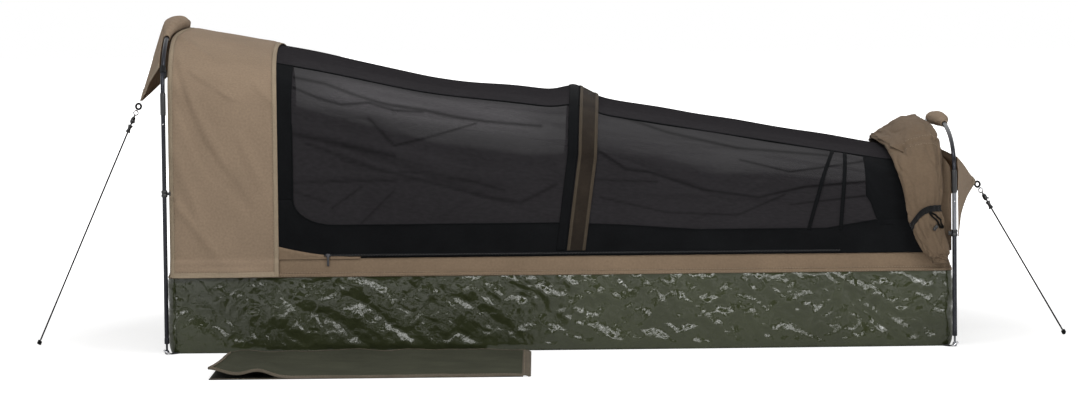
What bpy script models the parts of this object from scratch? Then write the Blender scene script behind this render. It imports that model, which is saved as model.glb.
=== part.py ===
# Swag bedroll: a PVC tub with a mattress, a canopy of canvas and net held up by two hoops, guy ropes and a mat.
# Metres, +Z up. The origin is at the middle of the tub's underside. +X runs to the foot end, and -Y is the near side.

import math

import bmesh
import bpy
from mathutils import Matrix, Vector

# Clearances and shared values
CLEAR = 0.0003            # gap between pieces that touch
LAYER_GAP = 0.0009        # gap between layers of cloth on the curved canopy
SHARP_ANGLE = math.radians(40)
HEAD, FOOT = -1, 1        # ends of the bed
NEAR, FAR = -1, 1         # long sides of the bed

# Tub and its canvas band
TUB_LENGTH = 2.10
TUB_WIDTH = 0.86
TUB_BOW = 0.012           # how far each long side swells at its middle
TUB_HEIGHT = 0.205
TUB_WALL = 0.003
TUB_CORNER = 0.020
BAND_HEIGHT = 0.050
BAND_WALL = 0.002
CORNER_STEPS = 3
SIDE_STEPS = 8

# Mattress
MATTRESS_GAP = 0.006      # room left to the tub's walls
MATTRESS_HEIGHT = 0.070
MATTRESS_CROWN = 0.012
MATTRESS_PINCH = 0.006    # how far its long sides draw in at their ends
MATTRESS_EDGE = 0.015
MATTRESS_COLUMNS = 10
MATTRESS_ROWS = 6

# Canopy: a wall rises from the rim to the shoulder, and an arch runs over from shoulder to shoulder
CANOPY_END_STEP = 0.003   # how far its rim stands in from the tub's
CANOPY_SIDE_STEP = 0.005
CANOPY_LENGTH = TUB_LENGTH - 2 * CANOPY_END_STEP
CANOPY_WIDTH = TUB_WIDTH - 2 * CANOPY_SIDE_STEP
RIM_END = CANOPY_LENGTH / 2
RIDGE_HEAD = 0.872
RIDGE_FOOT = 0.504
RISE_HEAD = 0.180         # height of the arch above the shoulder
RISE_FOOT = 0.120
SAG_DEPTH, SAG_AT, SAG_SPREAD = 0.020, -0.360, 0.220
PEAK_HEIGHT, PEAK_AT, PEAK_SPREAD = 0.022, 0.050, 0.050
LIFT_HEIGHT, LIFT_BEYOND, LIFT_SPREAD = 0.055, 0.003, 0.080
LIFT_AT = RIM_END + LIFT_BEYOND
PEAK_STEPS, LIFT_STEPS = 6, 4     # lines across the canopy on each side of the peak, and before the lift
ARCH_POWER = 2.5          # 2 is an ellipse, and more is squarer
SHOULDER_SHARE = 0.62     # girth runs from 0 at the ridge to 1 at the rim, and is this at the shoulder
ARCH_STEPS = 8            # from the ridge to a shoulder
SEAM_SHARE = SHOULDER_SHARE * 4 / ARCH_STEPS      # girth of the seam between the roof and the side
HEM_SHARE = 2.0           # girth at the hems of the head canvas
HEM_DROP = 0.0485         # from girth 1 down to girth 2, over the band
HEM_FLARE = 0.012
STATION_STEP = 0.150
PEAK_SPREAD_SHARE = 0.32          # spacing of the lines, as shares of the spreads above
LIFT_SPREAD_SHARE = 0.40

# Cloth thickness, and how far each layer of the canopy stands out from its surface
NET_THICK = 0.0010
BORDER_THICK = 0.0012
CANVAS_THICK = 0.0018
STRIP_THICK = 0.0012
BORDER_OUT = LAYER_GAP
STRIP_OUT = BORDER_OUT + BORDER_THICK + LAYER_GAP
CANVAS_OUT = STRIP_OUT

# Edges along the canopy, each from the rim's nearer end
NET_HEAD_INSET, NET_FOOT_INSET = 0.262, 0.017
CANVAS_LENGTH = 0.290
CANVAS_OVERHANG = 0.005
WINDOW_HEAD_INSET, WINDOW_FOOT_INSET = 0.325, 0.217
NET_HEAD_EDGE = NET_HEAD_INSET - RIM_END
NET_FOOT_EDGE = RIM_END - NET_FOOT_INSET
CANVAS_HEAD_EDGE = -RIM_END - CANVAS_OVERHANG
CANVAS_FOOT_EDGE = CANVAS_HEAD_EDGE + CANVAS_LENGTH
WINDOW_HEAD_EDGE = WINDOW_HEAD_INSET - RIM_END
WINDOW_FOOT_EDGE = RIM_END - WINDOW_FOOT_INSET
WINDOW_CORNER_HIGH = 0.415
WINDOW_SILL = 0.345
WINDOW_SILL_LOW = 0.323
WINDOW_HEAD_CORNER_SHARES = ((0.0, 1.0), (0.3, 0.55), (1.0, 0.2), (2.2, 0.0))     # of the corner's drop
WINDOW_FOOT_CORNER_SHARES = ((0.4, 0.0), (0.0, 1.0))
WINDOW_LOW_SHARES = (0.47, 0.71, 0.93)            # where the sill starts to fall, is low, and starts to rise

# Strip and tape over the middle, and the thin ties
STRIP_WIDTH = 0.050
STRIP_END_HEIGHT = 0.270  # just above the zips
STRIP_RIM_AT = 0.042
STRIP_SHOULDER_AT = 0.078
STRIP_RIDGE_AT = 0.090
TAPE_WIDTH = 0.026
TAPE_GAP = 0.003
TIE_WIDTH = 0.010
TIE_TOP_INSETS = (0.269, 0.235)   # from the rim's foot end
TIE_FOOT_INSETS = (0.341, 0.255)
TIE_HEM = 0.300
TIE_INSET = 0.0009

# Zips on the lower border
ZIP_HEAD_INSET, ZIP_FOOT_INSET = 0.407, 0.287
ZIP_HEAD_EDGE = ZIP_HEAD_INSET - RIM_END
ZIP_FOOT_EDGE = RIM_END - ZIP_FOOT_INSET
ZIP_HEIGHT = 0.263
ZIP_WIDTH = 0.010
ZIP_THICK = 0.0012
SLIDER_LENGTH = 0.012
SLIDER_HEIGHT = 0.010
SLIDER_DEPTH = 0.006
PULL_LENGTH = 0.028
PULL_WIDTH = 0.006
PULL_THICK = 0.0016

# Hoops: straight legs, and a crown whose ends are swollen collars
HOOP_END_GAP = 0.016      # from the tub's ends and sides to the poles' middles
HOOP_SIDE_GAP = 0.015
HOOP_X = TUB_LENGTH / 2 + HOOP_END_GAP
HOOP_HALF = TUB_WIDTH / 2 + TUB_BOW + HOOP_SIDE_GAP
POLE_RADIUS = 0.006
HOOP_POWER = 2.5
HEAD_HOOP_OVER, FOOT_HOOP_OVER = 0.016, 0.096     # from the canopy's even slope up to the crowns
HEAD_HOOP_TOP, FOOT_HOOP_TOP = RIDGE_HEAD + HEAD_HOOP_OVER, RIDGE_FOOT + FOOT_HOOP_OVER
HEAD_HOOP_RISE, FOOT_HOOP_RISE = 0.188, 0.130
HOOP_TOP = {HEAD: HEAD_HOOP_TOP, FOOT: FOOT_HOOP_TOP}
HOOP_RISE = {HEAD: HEAD_HOOP_RISE, FOOT: FOOT_HOOP_RISE}
HOOP_STEPS = 24
COLLAR_LENGTH = 0.030
COLLAR_SHARE = 1.25
LEG_BOTTOM = 0.030
SHANK_RADIUS = 0.003
BALL_RADIUS = 0.0066
PIVOT_HEIGHT = 0.0078
LEG_STEPS = 12
BALL_STEPS = 4

# Corner rings and their webbing
RING_RADIUS = 0.0095
RING_WIRE = 0.0025
RING_TILT = math.radians(30)
STRAP_WIDTH = 0.016
STRAP_THICK = 0.003

# Crown sleeves
SLEEVE_SPANS = 8          # steps of the hoop that a sleeve covers, on each side of the ridge
SLEEVE_END_SHARE = 2 * SHOULDER_SHARE * SLEEVE_SPANS / HOOP_STEPS
SLEEVE_HALF_END = 0.012
SLEEVE_HALF_TOP = 0.030
SLEEVE_DEPTH = 0.020
SLEEVE_BORE = 0.0070
SLEEVE_SIDES = 16

# Gable flaps
TIP_REACH = 0.112         # from the hoop to the tip
HEAD_TIP_DROP, FOOT_TIP_DROP = 0.233, 0.187       # from each crown
TIP_HEIGHT = {HEAD: HEAD_HOOP_TOP - HEAD_TIP_DROP, FOOT: FOOT_HOOP_TOP - FOOT_TIP_DROP}
FLAP_GIRTH_SHARE = {HEAD: 0.56, FOOT: 0.76}
FLAP_TIP_SHARE = 0.05
FLAP_LOOP_SHARES = (0.5, 1.0)     # where the loop hangs, across and along the flap
FLAP_CUT_SHARE = 0.20     # how far its lower edges are hollowed
FLAP_THICK = 0.0018
FLAP_COLUMNS = 14
FLAP_ROWS = 6

# Guy ropes and what is on them
HEAD_GUY_REACH, FOOT_GUY_REACH = 0.384, 0.336     # from each hoop to the knot on the ground
GUY_REACH = {HEAD: HEAD_GUY_REACH, FOOT: FOOT_GUY_REACH}
GUY_SPLAY = 0.150         # how far the knots lie to the near side
LOOP_RADIUS, LOOP_WIRE = 0.0090, 0.0020
HOOK_RADIUS, HOOK_WIRE = 0.0070, 0.0015
ROPE_RADIUS = 0.00225
ROPE_POINTS = 24
TENSIONER_AT = 0.040      # from the rope's top end
TENSIONER_LENGTH = 0.022
TENSIONER_RADIUS = 0.0070
TENSIONER_BORE = 0.0030
KNOT_RADIUS = 0.0070
KNOT_LIFT = 0.0005

# Clips and tabs on the poles
HEAD_CLIP_HEIGHT, FOOT_CLIP_HEIGHT = 0.437, 0.309
CLIP_HEIGHT = {HEAD: HEAD_CLIP_HEIGHT, FOOT: FOOT_CLIP_HEIGHT}
CLIP_LENGTH = 0.018
CLIP_RADIUS = 0.0085
CLIP_BORE = 0.0066
CLIP_ARM = 0.0145         # from the pole's middle to the arm's end
CLIP_ARM_WIDTH = 0.006
TAB_GIRTH_SHARE = 0.50
TAB_RISE_SHARE = 0.01     # a small step of girth, for the pole's direction at the tab
TAB_LENGTH = 0.022
TAB_THICK = 0.003
TAB_GAP = 0.0007          # the pole bends within the tab's length
TAB_SLACK = 0.003

# Rolled cover, draped over the foot end
ROLL_OUT = 0.0026
ROLL_HEM_SHARES = (1.05, 1.30, 1.60)
ROLL_INSET_TOP, ROLL_INSET_RIM = 0.092, 0.039     # from the rim's foot end to the roll's middle
ROLL_HALF_TOP = 0.068
ROLL_HALF_RIM = 0.038
ROLL_DEPTH_TOP = 0.030
ROLL_DEPTH_RIM = 0.026
ROLL_END_SHARE = 0.45     # how far the free ends taper
ROLL_FOLD_SHARE = 0.09
ROLL_FOLDS = 3
ROLL_TURNS = 4.0          # how far the folds wind round, in radians of angle for each unit of girth
ROLL_SIDES = 24
ROLL_STRAP_SHARES = (0.82, 0.90)
ROLL_STRAP_GAP = 0.0008
ROLL_STRAP_THICK = 0.0020

# Mat on the ground at the near side
MAT_HEAD_INSET = 0.150    # from the tub's head end
MAT_LENGTH = 0.800
MAT_HINGE_GAP = 0.0305    # from the tub's side
MAT_HEAD_EDGE = MAT_HEAD_INSET - TUB_LENGTH / 2
MAT_FOOT_EDGE = MAT_HEAD_EDGE + MAT_LENGTH
MAT_HINGE_Y = -TUB_WIDTH / 2 - TUB_BOW - MAT_HINGE_GAP
MAT_DEPTH = 0.620
MAT_LAYER = 0.0020
MAT_TAPE = 0.020
MAT_MOUTH_HEIGHTS = (0.028, 0.019)        # two gapes of the front edge
MAT_MOUTH_INSETS = (-0.005, 0.125)        # from the mat's head edge
MAT_MOUTH_SPREADS = (0.060, 0.045)
MAT_WAVE = 0.003
MAT_WAVE_LENGTH = 0.260
MAT_WAVE_FRONT_SHARE = 0.3        # how much of the waves is left at the front edge
MAT_WAVE_BACK_SHARE = 1.2         # makes the waves die out at the hinge
MAT_GAPE_POWER = 1.5
MAT_COLUMNS = 24
MAT_ROWS = 9
MAT_STRIP_INSET = 0.100
MAT_STRIP_THICK = 0.0025

# Colours and finishes: red, green, blue, roughness, metallic
FINISHES = {
    "pvc": (0.045, 0.055, 0.035, 0.22, 0.0),
    "foam": (0.55, 0.50, 0.40, 0.90, 0.0),
    "canvas": (0.27, 0.21, 0.15, 0.90, 0.0),
    "net": (0.012, 0.012, 0.014, 0.85, 0.0),
    "border": (0.008, 0.008, 0.009, 0.80, 0.0),
    "strip": (0.050, 0.036, 0.026, 0.90, 0.0),
    "webbing": (0.006, 0.006, 0.006, 0.80, 0.0),
    "pole": (0.030, 0.030, 0.036, 0.35, 0.8),
    "steel": (0.60, 0.60, 0.62, 0.25, 1.0),
    "plastic": (0.008, 0.008, 0.008, 0.40, 0.0),
    "rope": (0.012, 0.012, 0.012, 0.80, 0.0),
    "mat": (0.050, 0.056, 0.038, 0.90, 0.0),
    "tape": (0.22, 0.18, 0.13, 0.90, 0.0),
}

END_NAMES = {HEAD: "head", FOOT: "foot"}
SIDE_NAMES = {NEAR: "near", FAR: "far"}
CANOPY_FLOOR = TUB_HEIGHT + BAND_HEIGHT + CLEAR + CLEAR


def clear_scene():
    for old in list(bpy.data.objects):
        bpy.data.objects.remove(old, do_unlink=True)


def make_collection():
    collection = bpy.data.collections.new("swag_bedroll")
    bpy.context.scene.collection.children.link(collection)
    return collection


def make_materials():
    made = {}
    for name, (red, green, blue, roughness, metallic) in FINISHES.items():
        material = bpy.data.materials.new(name)
        material.use_nodes = True
        shader = material.node_tree.nodes["Principled BSDF"]
        shader.inputs["Base Color"].default_value = (red, green, blue, 1.0)
        shader.inputs["Roughness"].default_value = roughness
        shader.inputs["Metallic"].default_value = metallic
        made[name] = material
    return made


def mix(low, high, share):
    return low + (high - low) * share


def swell(x, height, middle, spread):
    return height * math.exp(-((x - middle) / spread) ** 2)


# Ways of making a piece

def place(obj, finish):
    for holder in list(obj.users_collection):
        holder.objects.unlink(obj)
    COLLECTION.objects.link(obj)
    obj.data.materials.clear()
    obj.data.materials.append(MATERIALS[finish])
    return obj


def from_bmesh(name, bm, finish):
    mesh = bpy.data.meshes.new(name)
    bm.to_mesh(mesh)
    bm.free()
    mesh.shade_smooth()
    mesh.set_sharp_from_angle(angle=SHARP_ANGLE)
    return place(bpy.data.objects.new(name, mesh), finish)


def thicken(obj, thickness, offset=-1.0):
    solidify = obj.modifiers.new("cloth", "SOLIDIFY")
    solidify.thickness = thickness
    solidify.offset = offset
    return obj


def box(name, size, centre, finish, direction=None):
    bm = bmesh.new()
    bmesh.ops.create_cube(bm, size=1.0)
    bmesh.ops.scale(bm, vec=size, verts=bm.verts)
    obj = from_bmesh(name, bm, finish)
    obj.location = centre
    if direction:
        obj.rotation_euler = Vector(direction).to_track_quat("Z", "Y").to_euler()
    return obj


def turned(name, profile, centre, finish, closed=False):
    # The profile runs down its outer side, as (radius, height) from the centre.
    bm = bmesh.new()
    verts = [bm.verts.new((radius, 0.0, height)) for radius, height in profile]
    for first, second in zip(verts, verts[1:]):
        bm.edges.new((first, second))
    if closed:
        bm.edges.new((verts[-1], verts[0]))
    obj = from_bmesh(name, bm, finish)
    screw = obj.modifiers.new("turn", "SCREW")
    screw.steps = screw.render_steps = LEG_STEPS
    screw.use_merge_vertices = True
    screw.merge_threshold = 0.0001
    screw.use_smooth_shade = True
    obj.location = centre
    return obj


def torus(name, radius, wire, centre, rotation, finish):
    bpy.ops.mesh.primitive_torus_add(major_radius=radius, minor_radius=wire, major_segments=16, minor_segments=8,
                                     location=centre, rotation=rotation)
    obj = bpy.context.object
    obj.name = obj.data.name = name
    obj.data.shade_smooth()
    return place(obj, finish)


def tube(name, points, radius, finish, shares=None):
    curve = bpy.data.curves.new(name, "CURVE")
    curve.dimensions = "3D"
    curve.bevel_depth = radius
    curve.bevel_resolution = 2
    curve.use_fill_caps = True
    curve.resolution_u = 1
    curve.render_resolution_u = 0
    spline = curve.splines.new("POLY")
    spline.points.add(len(points) - 1)
    for index, point in enumerate(points):
        spline.points[index].co = (*point, 1.0)
        if shares:
            spline.points[index].radius = shares[index]
    return place(bpy.data.objects.new(name, curve), finish)


def loft(name, rings, finish, closed=False):
    # Quads between rings of equal count. A closed loft joins its last ring to its first, and an open one is capped.
    bm = bmesh.new()
    made = [[bm.verts.new(point) for point in ring] for ring in rings]
    pairs = list(zip(made, made[1:]))
    if closed:
        pairs.append((made[-1], made[0]))
    for low, high in pairs:
        for index in range(len(low)):
            after = (index + 1) % len(low)
            bm.faces.new((low[index], low[after], high[after], high[index]))
    if not closed:
        bm.faces.new(made[0])
        bm.faces.new(made[-1])
    bmesh.ops.recalc_face_normals(bm, faces=bm.faces)
    return from_bmesh(name, bm, finish)


def mapped_grid(name, columns, rows, surface, thickness, finish, offset=-1.0):
    # A flat grid whose points go to surface(across, along), both from 0 to 1.
    bm = bmesh.new()
    bmesh.ops.create_grid(bm, x_segments=columns, y_segments=rows, size=1.0)
    for vert in bm.verts:
        vert.co = surface((vert.co.x + 1.0) / 2.0, (vert.co.y + 1.0) / 2.0)
    return thicken(from_bmesh(name, bm, finish), thickness, offset)


# The canopy's surface

def canopy_share(x):
    return (x + CANOPY_LENGTH / 2) / CANOPY_LENGTH


def canopy_shoulder(x):
    share = canopy_share(x)
    return mix(RIDGE_HEAD - RISE_HEAD, RIDGE_FOOT - RISE_FOOT, share)


def canopy_stations():
    # Lines across the canopy, closer where its ridge bends most.
    count = round(TUB_LENGTH / STATION_STEP)
    stations = [TUB_LENGTH * (index / count - 0.5) for index in range(count + 1)]
    stations = [x for x in stations if abs(x - PEAK_AT) > PEAK_STEPS * PEAK_SPREAD_SHARE * PEAK_SPREAD]
    stations += [PEAK_AT + step * PEAK_SPREAD_SHARE * PEAK_SPREAD for step in range(-PEAK_STEPS, PEAK_STEPS + 1)]
    stations += [LIFT_AT - step * LIFT_SPREAD_SHARE * LIFT_SPREAD for step in range(1, LIFT_STEPS + 1)]
    return sorted(stations)


def canopy_girths():
    # Lines along the canopy: the shoulders, the steps of the arch between them, and the rims.
    steps = [SHOULDER_SHARE * index / ARCH_STEPS for index in range(-ARCH_STEPS, ARCH_STEPS + 1)]
    return [-1.0] + steps + [1.0]


def between(lines, place):
    # The two lines that a place lies between, and its share of the way.
    for low, high in zip(lines, lines[1:]):
        if place <= high:
            break
    return low, high, (place - low) / (high - low)


def smooth_ridge(x):
    ridge = mix(RIDGE_HEAD, RIDGE_FOOT, canopy_share(x))
    ridge -= swell(x, SAG_DEPTH, SAG_AT, SAG_SPREAD)
    ridge += swell(x, PEAK_HEIGHT, PEAK_AT, PEAK_SPREAD)
    return ridge + swell(x, LIFT_HEIGHT, LIFT_AT, LIFT_SPREAD)


def canopy_ridge(x):
    # Straight between the lines, so that every layer of cloth shares the same facets.
    low, high, share = between(canopy_stations(), x)
    return mix(smooth_ridge(low), smooth_ridge(high), share)


def arch(half, shoulder, rise, power, girth):
    # A point (y, z) of a wall and its arch, and the outward normal there. Girth is 0 at the ridge.
    side = FAR if girth > 0 else NEAR
    angle = (1.0 - min(abs(girth) / SHOULDER_SHARE, 1.0)) * math.pi / 2
    across = max(math.cos(angle), 0.0) ** (2.0 / power)
    upward = math.sin(angle) ** (2.0 / power)
    normal = Vector((across ** (power - 1.0) / half, upward ** (power - 1.0) / rise)).normalized()
    return side * across * half, shoulder + upward * rise, side * normal.x, normal.y


def canopy_point(x, girth, out=0.0):
    shoulder = canopy_shoulder(x)
    rise = canopy_ridge(x) - shoulder
    reach = abs(girth)
    if reach < SHOULDER_SHARE:
        low, high, share = between(canopy_girths(), girth)
        corners = [arch(CANOPY_WIDTH / 2, shoulder, rise, ARCH_POWER, line) for line in (low, high)]
        y, z = (mix(corners[0][axis] + out * corners[0][axis + 2], corners[1][axis] + out * corners[1][axis + 2],
                    share) for axis in (0, 1))
        return Vector((x, y, z))
    side = math.copysign(1.0, girth)
    y = CANOPY_WIDTH / 2 + out + max(reach - 1.0, 0.0) * HEM_FLARE
    z = mix(shoulder, CANOPY_FLOOR, (min(reach, 1.0) - SHOULDER_SHARE) / (1.0 - SHOULDER_SHARE))
    return Vector((x, side * y, z - max(reach - 1.0, 0.0) * HEM_DROP))


def girth_at(x, z):
    # The girth share of a point of the canopy's side at height z.
    shoulder = canopy_shoulder(x)
    if z <= shoulder:
        return mix(SHOULDER_SHARE, 1.0, (shoulder - z) / (shoulder - CANOPY_FLOOR))
    upward = (z - shoulder) / (canopy_ridge(x) - shoulder)
    angle = math.asin(min(upward, 1.0) ** (ARCH_POWER / 2.0))
    return SHOULDER_SHARE * (1.0 - angle / (math.pi / 2))


def canopy_panel(name, outlines, out, thickness, finish):
    # Flat outlines in (place along the bed, girth), cut along the canopy's lines, laid on it and thickened outwards.
    bm = bmesh.new()
    for outline in outlines:
        verts = [bm.verts.new((x, girth, 0.0)) for x, girth in outline]
        edges = [bm.edges.new(pair) for pair in zip(verts, verts[1:] + verts[:1])]
        bmesh.ops.edgeloop_fill(bm, edges=edges)
    bmesh.ops.remove_doubles(bm, verts=bm.verts, dist=0.0001)
    for normal, places in (((1, 0, 0), canopy_stations()), ((0, 1, 0), canopy_girths())):
        for distance in places:
            geometry = bm.verts[:] + bm.edges[:] + bm.faces[:]
            bmesh.ops.bisect_plane(bm, geom=geometry, plane_co=Vector(normal) * distance, plane_no=normal,
                                   dist=0.00001)
    bmesh.ops.triangulate(bm, faces=[face for face in bm.faces if len(face.verts) > 4])
    for vert in bm.verts:
        vert.co = canopy_point(vert.co.x, vert.co.y, out)
    bmesh.ops.triangulate(bm, faces=bm.faces, quad_method="SHORT_EDGE")
    bmesh.ops.recalc_face_normals(bm, faces=bm.faces)
    middle = Vector((0.0, 0.0, canopy_ridge(0.0) / 2))
    facing = 0.0
    for face in bm.faces:
        away = face.calc_center_median() - middle
        facing += face.calc_area() * (face.normal.y * away.y + face.normal.z * away.z)
    if facing < 0:
        bmesh.ops.reverse_faces(bm, faces=bm.faces)
    return thicken(from_bmesh(name, bm, finish), thickness, 1.0)


# Tub, band and mattress

def rim_outline(half_length, half_width, bow, corner, height):
    # A rectangle with round corners and bowed long sides, anticlockwise.
    points = []
    for x_side, y_side, turn in ((1, -1, -90), (1, 1, 0), (-1, 1, 90), (-1, -1, 180)):
        for step in range(CORNER_STEPS + 1):
            angle = math.radians(turn + 90.0 * step / CORNER_STEPS)
            points.append((x_side * (half_length - corner) + corner * math.cos(angle),
                           y_side * (half_width - corner) + corner * math.sin(angle), height))
        if x_side * y_side > 0:
            start = x_side * (half_length - corner)
            points += [(mix(start, -start, step / SIDE_STEPS), y_side * half_width, height)
                       for step in range(1, SIDE_STEPS)]
    return [Vector((x, y + math.copysign(bow * (1.0 - (x / half_length) ** 2), y), z)) for x, y, z in points]


def make_tub():
    bm = bmesh.new()
    outline = rim_outline(TUB_LENGTH / 2, TUB_WIDTH / 2, TUB_BOW, TUB_CORNER, 0.0)
    floor = bm.faces.new([bm.verts.new(point) for point in outline])
    floor.normal_flip()
    walls = bmesh.ops.extrude_edge_only(bm, edges=bm.edges[:])["geom"]
    raised = [item for item in walls if isinstance(item, bmesh.types.BMVert)]
    bmesh.ops.translate(bm, verts=raised, vec=(0.0, 0.0, TUB_HEIGHT))
    bmesh.ops.recalc_face_normals(bm, faces=bm.faces)
    bm.faces.ensure_lookup_table()
    if floor.normal.z > 0:
        bmesh.ops.reverse_faces(bm, faces=bm.faces)
    tub = thicken(from_bmesh("pvc_tub", bm, "pvc"), TUB_WALL)
    tub.modifiers["cloth"].use_even_offset = True


def make_band():
    low = TUB_HEIGHT + CLEAR
    high = low + BAND_HEIGHT
    corner = TUB_CORNER
    half_length = CANOPY_LENGTH / 2
    half_width = CANOPY_WIDTH / 2
    rings = [rim_outline(TUB_LENGTH / 2, TUB_WIDTH / 2, TUB_BOW, corner, low),
             rim_outline(half_length, half_width, 0.0, corner, high),
             rim_outline(half_length - BAND_WALL, half_width - BAND_WALL, 0.0, corner - BAND_WALL, high),
             rim_outline(TUB_LENGTH / 2 - BAND_WALL, TUB_WIDTH / 2 - BAND_WALL, TUB_BOW, corner - BAND_WALL, low)]
    loft("canvas_band", rings, "canvas", closed=True)


def make_mattress():
    half_length = TUB_LENGTH / 2 - TUB_WALL - MATTRESS_GAP
    half_width = TUB_WIDTH / 2 - TUB_WALL - MATTRESS_GAP
    bm = bmesh.new()
    bmesh.ops.create_grid(bm, x_segments=MATTRESS_COLUMNS, y_segments=MATTRESS_ROWS, size=1.0)
    top = bmesh.ops.extrude_face_region(bm, geom=bm.faces[:])["geom"]
    top = [item for item in top if isinstance(item, bmesh.types.BMVert)]
    bmesh.ops.translate(bm, verts=top, vec=(0.0, 0.0, 1.0))
    for vert in bm.verts:
        x, y, level = vert.co
        pinch = MATTRESS_PINCH * x ** 2
        crown = MATTRESS_CROWN * (1.0 - x ** 2) * (1.0 - y ** 2) * level
        vert.co = (x * half_length, y * (half_width - pinch),
                   TUB_WALL + CLEAR + level * MATTRESS_HEIGHT + crown)
    bmesh.ops.recalc_face_normals(bm, faces=bm.faces)
    mattress = from_bmesh("mattress", bm, "foam")
    bevel = mattress.modifiers.new("round_edges", "BEVEL")
    bevel.width = MATTRESS_EDGE
    bevel.segments = 3
    bevel.limit_method = "ANGLE"
    bevel.angle_limit = SHARP_ANGLE


# Canopy

def sleeve_half(girth):
    # Half the width of a crown sleeve, along the bed.
    share = min(abs(girth) / SLEEVE_END_SHARE, 1.0)
    return mix(SLEEVE_HALF_TOP, SLEEVE_HALF_END, share ** 2)


def sleeve_edge(girth):
    # Where the head canvas meets the sleeve at this girth.
    return max(CANVAS_HEAD_EDGE, -HOOP_X + sleeve_half(girth) + CLEAR + CLEAR)


def make_head_canvas():
    count = 2 * ARCH_STEPS
    edge = [mix(-SHOULDER_SHARE, SHOULDER_SHARE, step / count) for step in range(count + 1)]
    outline = [(CANVAS_HEAD_EDGE, -HEM_SHARE)] + [(sleeve_edge(girth), girth) for girth in edge]
    outline += [(CANVAS_HEAD_EDGE, HEM_SHARE), (CANVAS_FOOT_EDGE, HEM_SHARE), (CANVAS_FOOT_EDGE, -HEM_SHARE)]
    canopy_panel("head_canvas", [outline], CANVAS_OUT, CANVAS_THICK, "canvas")


def make_end_wall(end):
    # A canvas wall that leans in from the rim to the hoop's crown.
    top_x = NET_FOOT_EDGE - CLEAR
    out = CANVAS_OUT - LAYER_GAP if end == HEAD else -NET_THICK - LAYER_GAP
    ridge = canopy_ridge(end * top_x)
    steps = 2 * ARCH_STEPS + 2
    points = []
    for step in range(steps + 1):
        point = canopy_point(end * top_x, mix(-1.0, 1.0, step / steps), out)
        point.x = end * mix(RIM_END, top_x, (point.z - CANOPY_FLOOR) / (ridge - CANOPY_FLOOR))
        points.append(point)
    bm = bmesh.new()
    verts = [bm.verts.new(point) for point in points]
    bmesh.ops.edgeloop_fill(bm, edges=[bm.edges.new(pair) for pair in zip(verts, verts[1:] + verts[:1])])
    bm.normal_update()
    if bm.faces[:][0].normal.x * end < 0:
        bmesh.ops.reverse_faces(bm, faces=bm.faces)
    thicken(from_bmesh(END_NAMES[end] + "_end_wall", bm, "canvas"), CANVAS_THICK)


def make_net():
    outline = [(NET_HEAD_EDGE, -1.0), (NET_FOOT_EDGE, -1.0), (NET_FOOT_EDGE, 1.0), (NET_HEAD_EDGE, 1.0)]
    net = canopy_panel("net_canopy", [outline], 0.0, NET_THICK, "net")
    net.modifiers["cloth"].offset = -1.0


def window_edge():
    # The window's lower edge from head to foot, as (place, height).
    left, right = WINDOW_HEAD_EDGE, WINDOW_FOOT_EDGE
    drop = WINDOW_CORNER_HIGH - WINDOW_SILL
    fall, low, rise = (mix(left, right, share) for share in WINDOW_LOW_SHARES)
    head_corner = [(left + across * drop, WINDOW_SILL + up * drop) for across, up in WINDOW_HEAD_CORNER_SHARES]
    foot_corner = [(right + across * drop, WINDOW_SILL + up * drop) for across, up in WINDOW_FOOT_CORNER_SHARES]
    sill = [(fall, WINDOW_SILL), (low, WINDOW_SILL_LOW), (rise, WINDOW_SILL_LOW)]
    return head_corner + sill + foot_corner


def make_border(side):
    edge = [(x, girth_at(x, z)) for x, z in window_edge()]
    left, right = NET_HEAD_EDGE, NET_FOOT_EDGE
    top = SEAM_SHARE
    head_column = [(left, 1.0), (WINDOW_HEAD_EDGE, 1.0), edge[0], (WINDOW_HEAD_EDGE, top), (left, top)]
    corner = edge[-2][0]
    sill = [(WINDOW_HEAD_EDGE, 1.0)] + edge[:-1] + [(corner, 1.0)]
    foot_column = [(corner, 1.0), edge[-2], edge[-1], (WINDOW_FOOT_EDGE, top), (right, top), (right, 1.0)]
    outlines = [[(x, side * girth) for x, girth in outline] for outline in (head_column, sill, foot_column)]
    canopy_panel("net_border_" + SIDE_NAMES[side], outlines, BORDER_OUT, BORDER_THICK, "border")


def strip_line(shift, width):
    # A band over the canopy from the near rim to the far rim, whose upper part leans to the foot.
    end = girth_at(STRIP_RIM_AT, STRIP_END_HEIGHT)
    line = [(STRIP_RIM_AT, -end), (STRIP_SHOULDER_AT, -SHOULDER_SHARE), (STRIP_RIDGE_AT, 0.0),
            (STRIP_SHOULDER_AT, SHOULDER_SHARE), (STRIP_RIM_AT, end)]
    cells = []
    for (low_x, low), (high_x, high) in zip(line, line[1:]):
        cells.append([(low_x + shift - width / 2, low), (low_x + shift + width / 2, low),
                      (high_x + shift + width / 2, high), (high_x + shift - width / 2, high)])
    return cells


def make_strip_and_tape():
    canopy_panel("centre_strip", strip_line(0.0, STRIP_WIDTH), STRIP_OUT, STRIP_THICK, "strip")
    shift = -(STRIP_WIDTH + TAPE_WIDTH) / 2 - TAPE_GAP
    canopy_panel("centre_tape", strip_line(shift, TAPE_WIDTH), STRIP_OUT, STRIP_THICK, "border")


def make_ties():
    for number, (top_inset, foot_inset) in enumerate(zip(TIE_TOP_INSETS, TIE_FOOT_INSETS), start=1):
        top, foot = RIM_END - top_inset, RIM_END - foot_inset
        half = TIE_WIDTH / 2
        low = -girth_at(foot, TIE_HEM)
        outline = [(foot - half, low), (foot + half, low), (top + half, -SEAM_SHARE), (top - half, -SEAM_SHARE)]
        tie = canopy_panel(f"net_tie_{number}", [outline], -NET_THICK - TIE_INSET, STRIP_THICK, "webbing")
        tie.modifiers["cloth"].offset = -1.0


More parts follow.
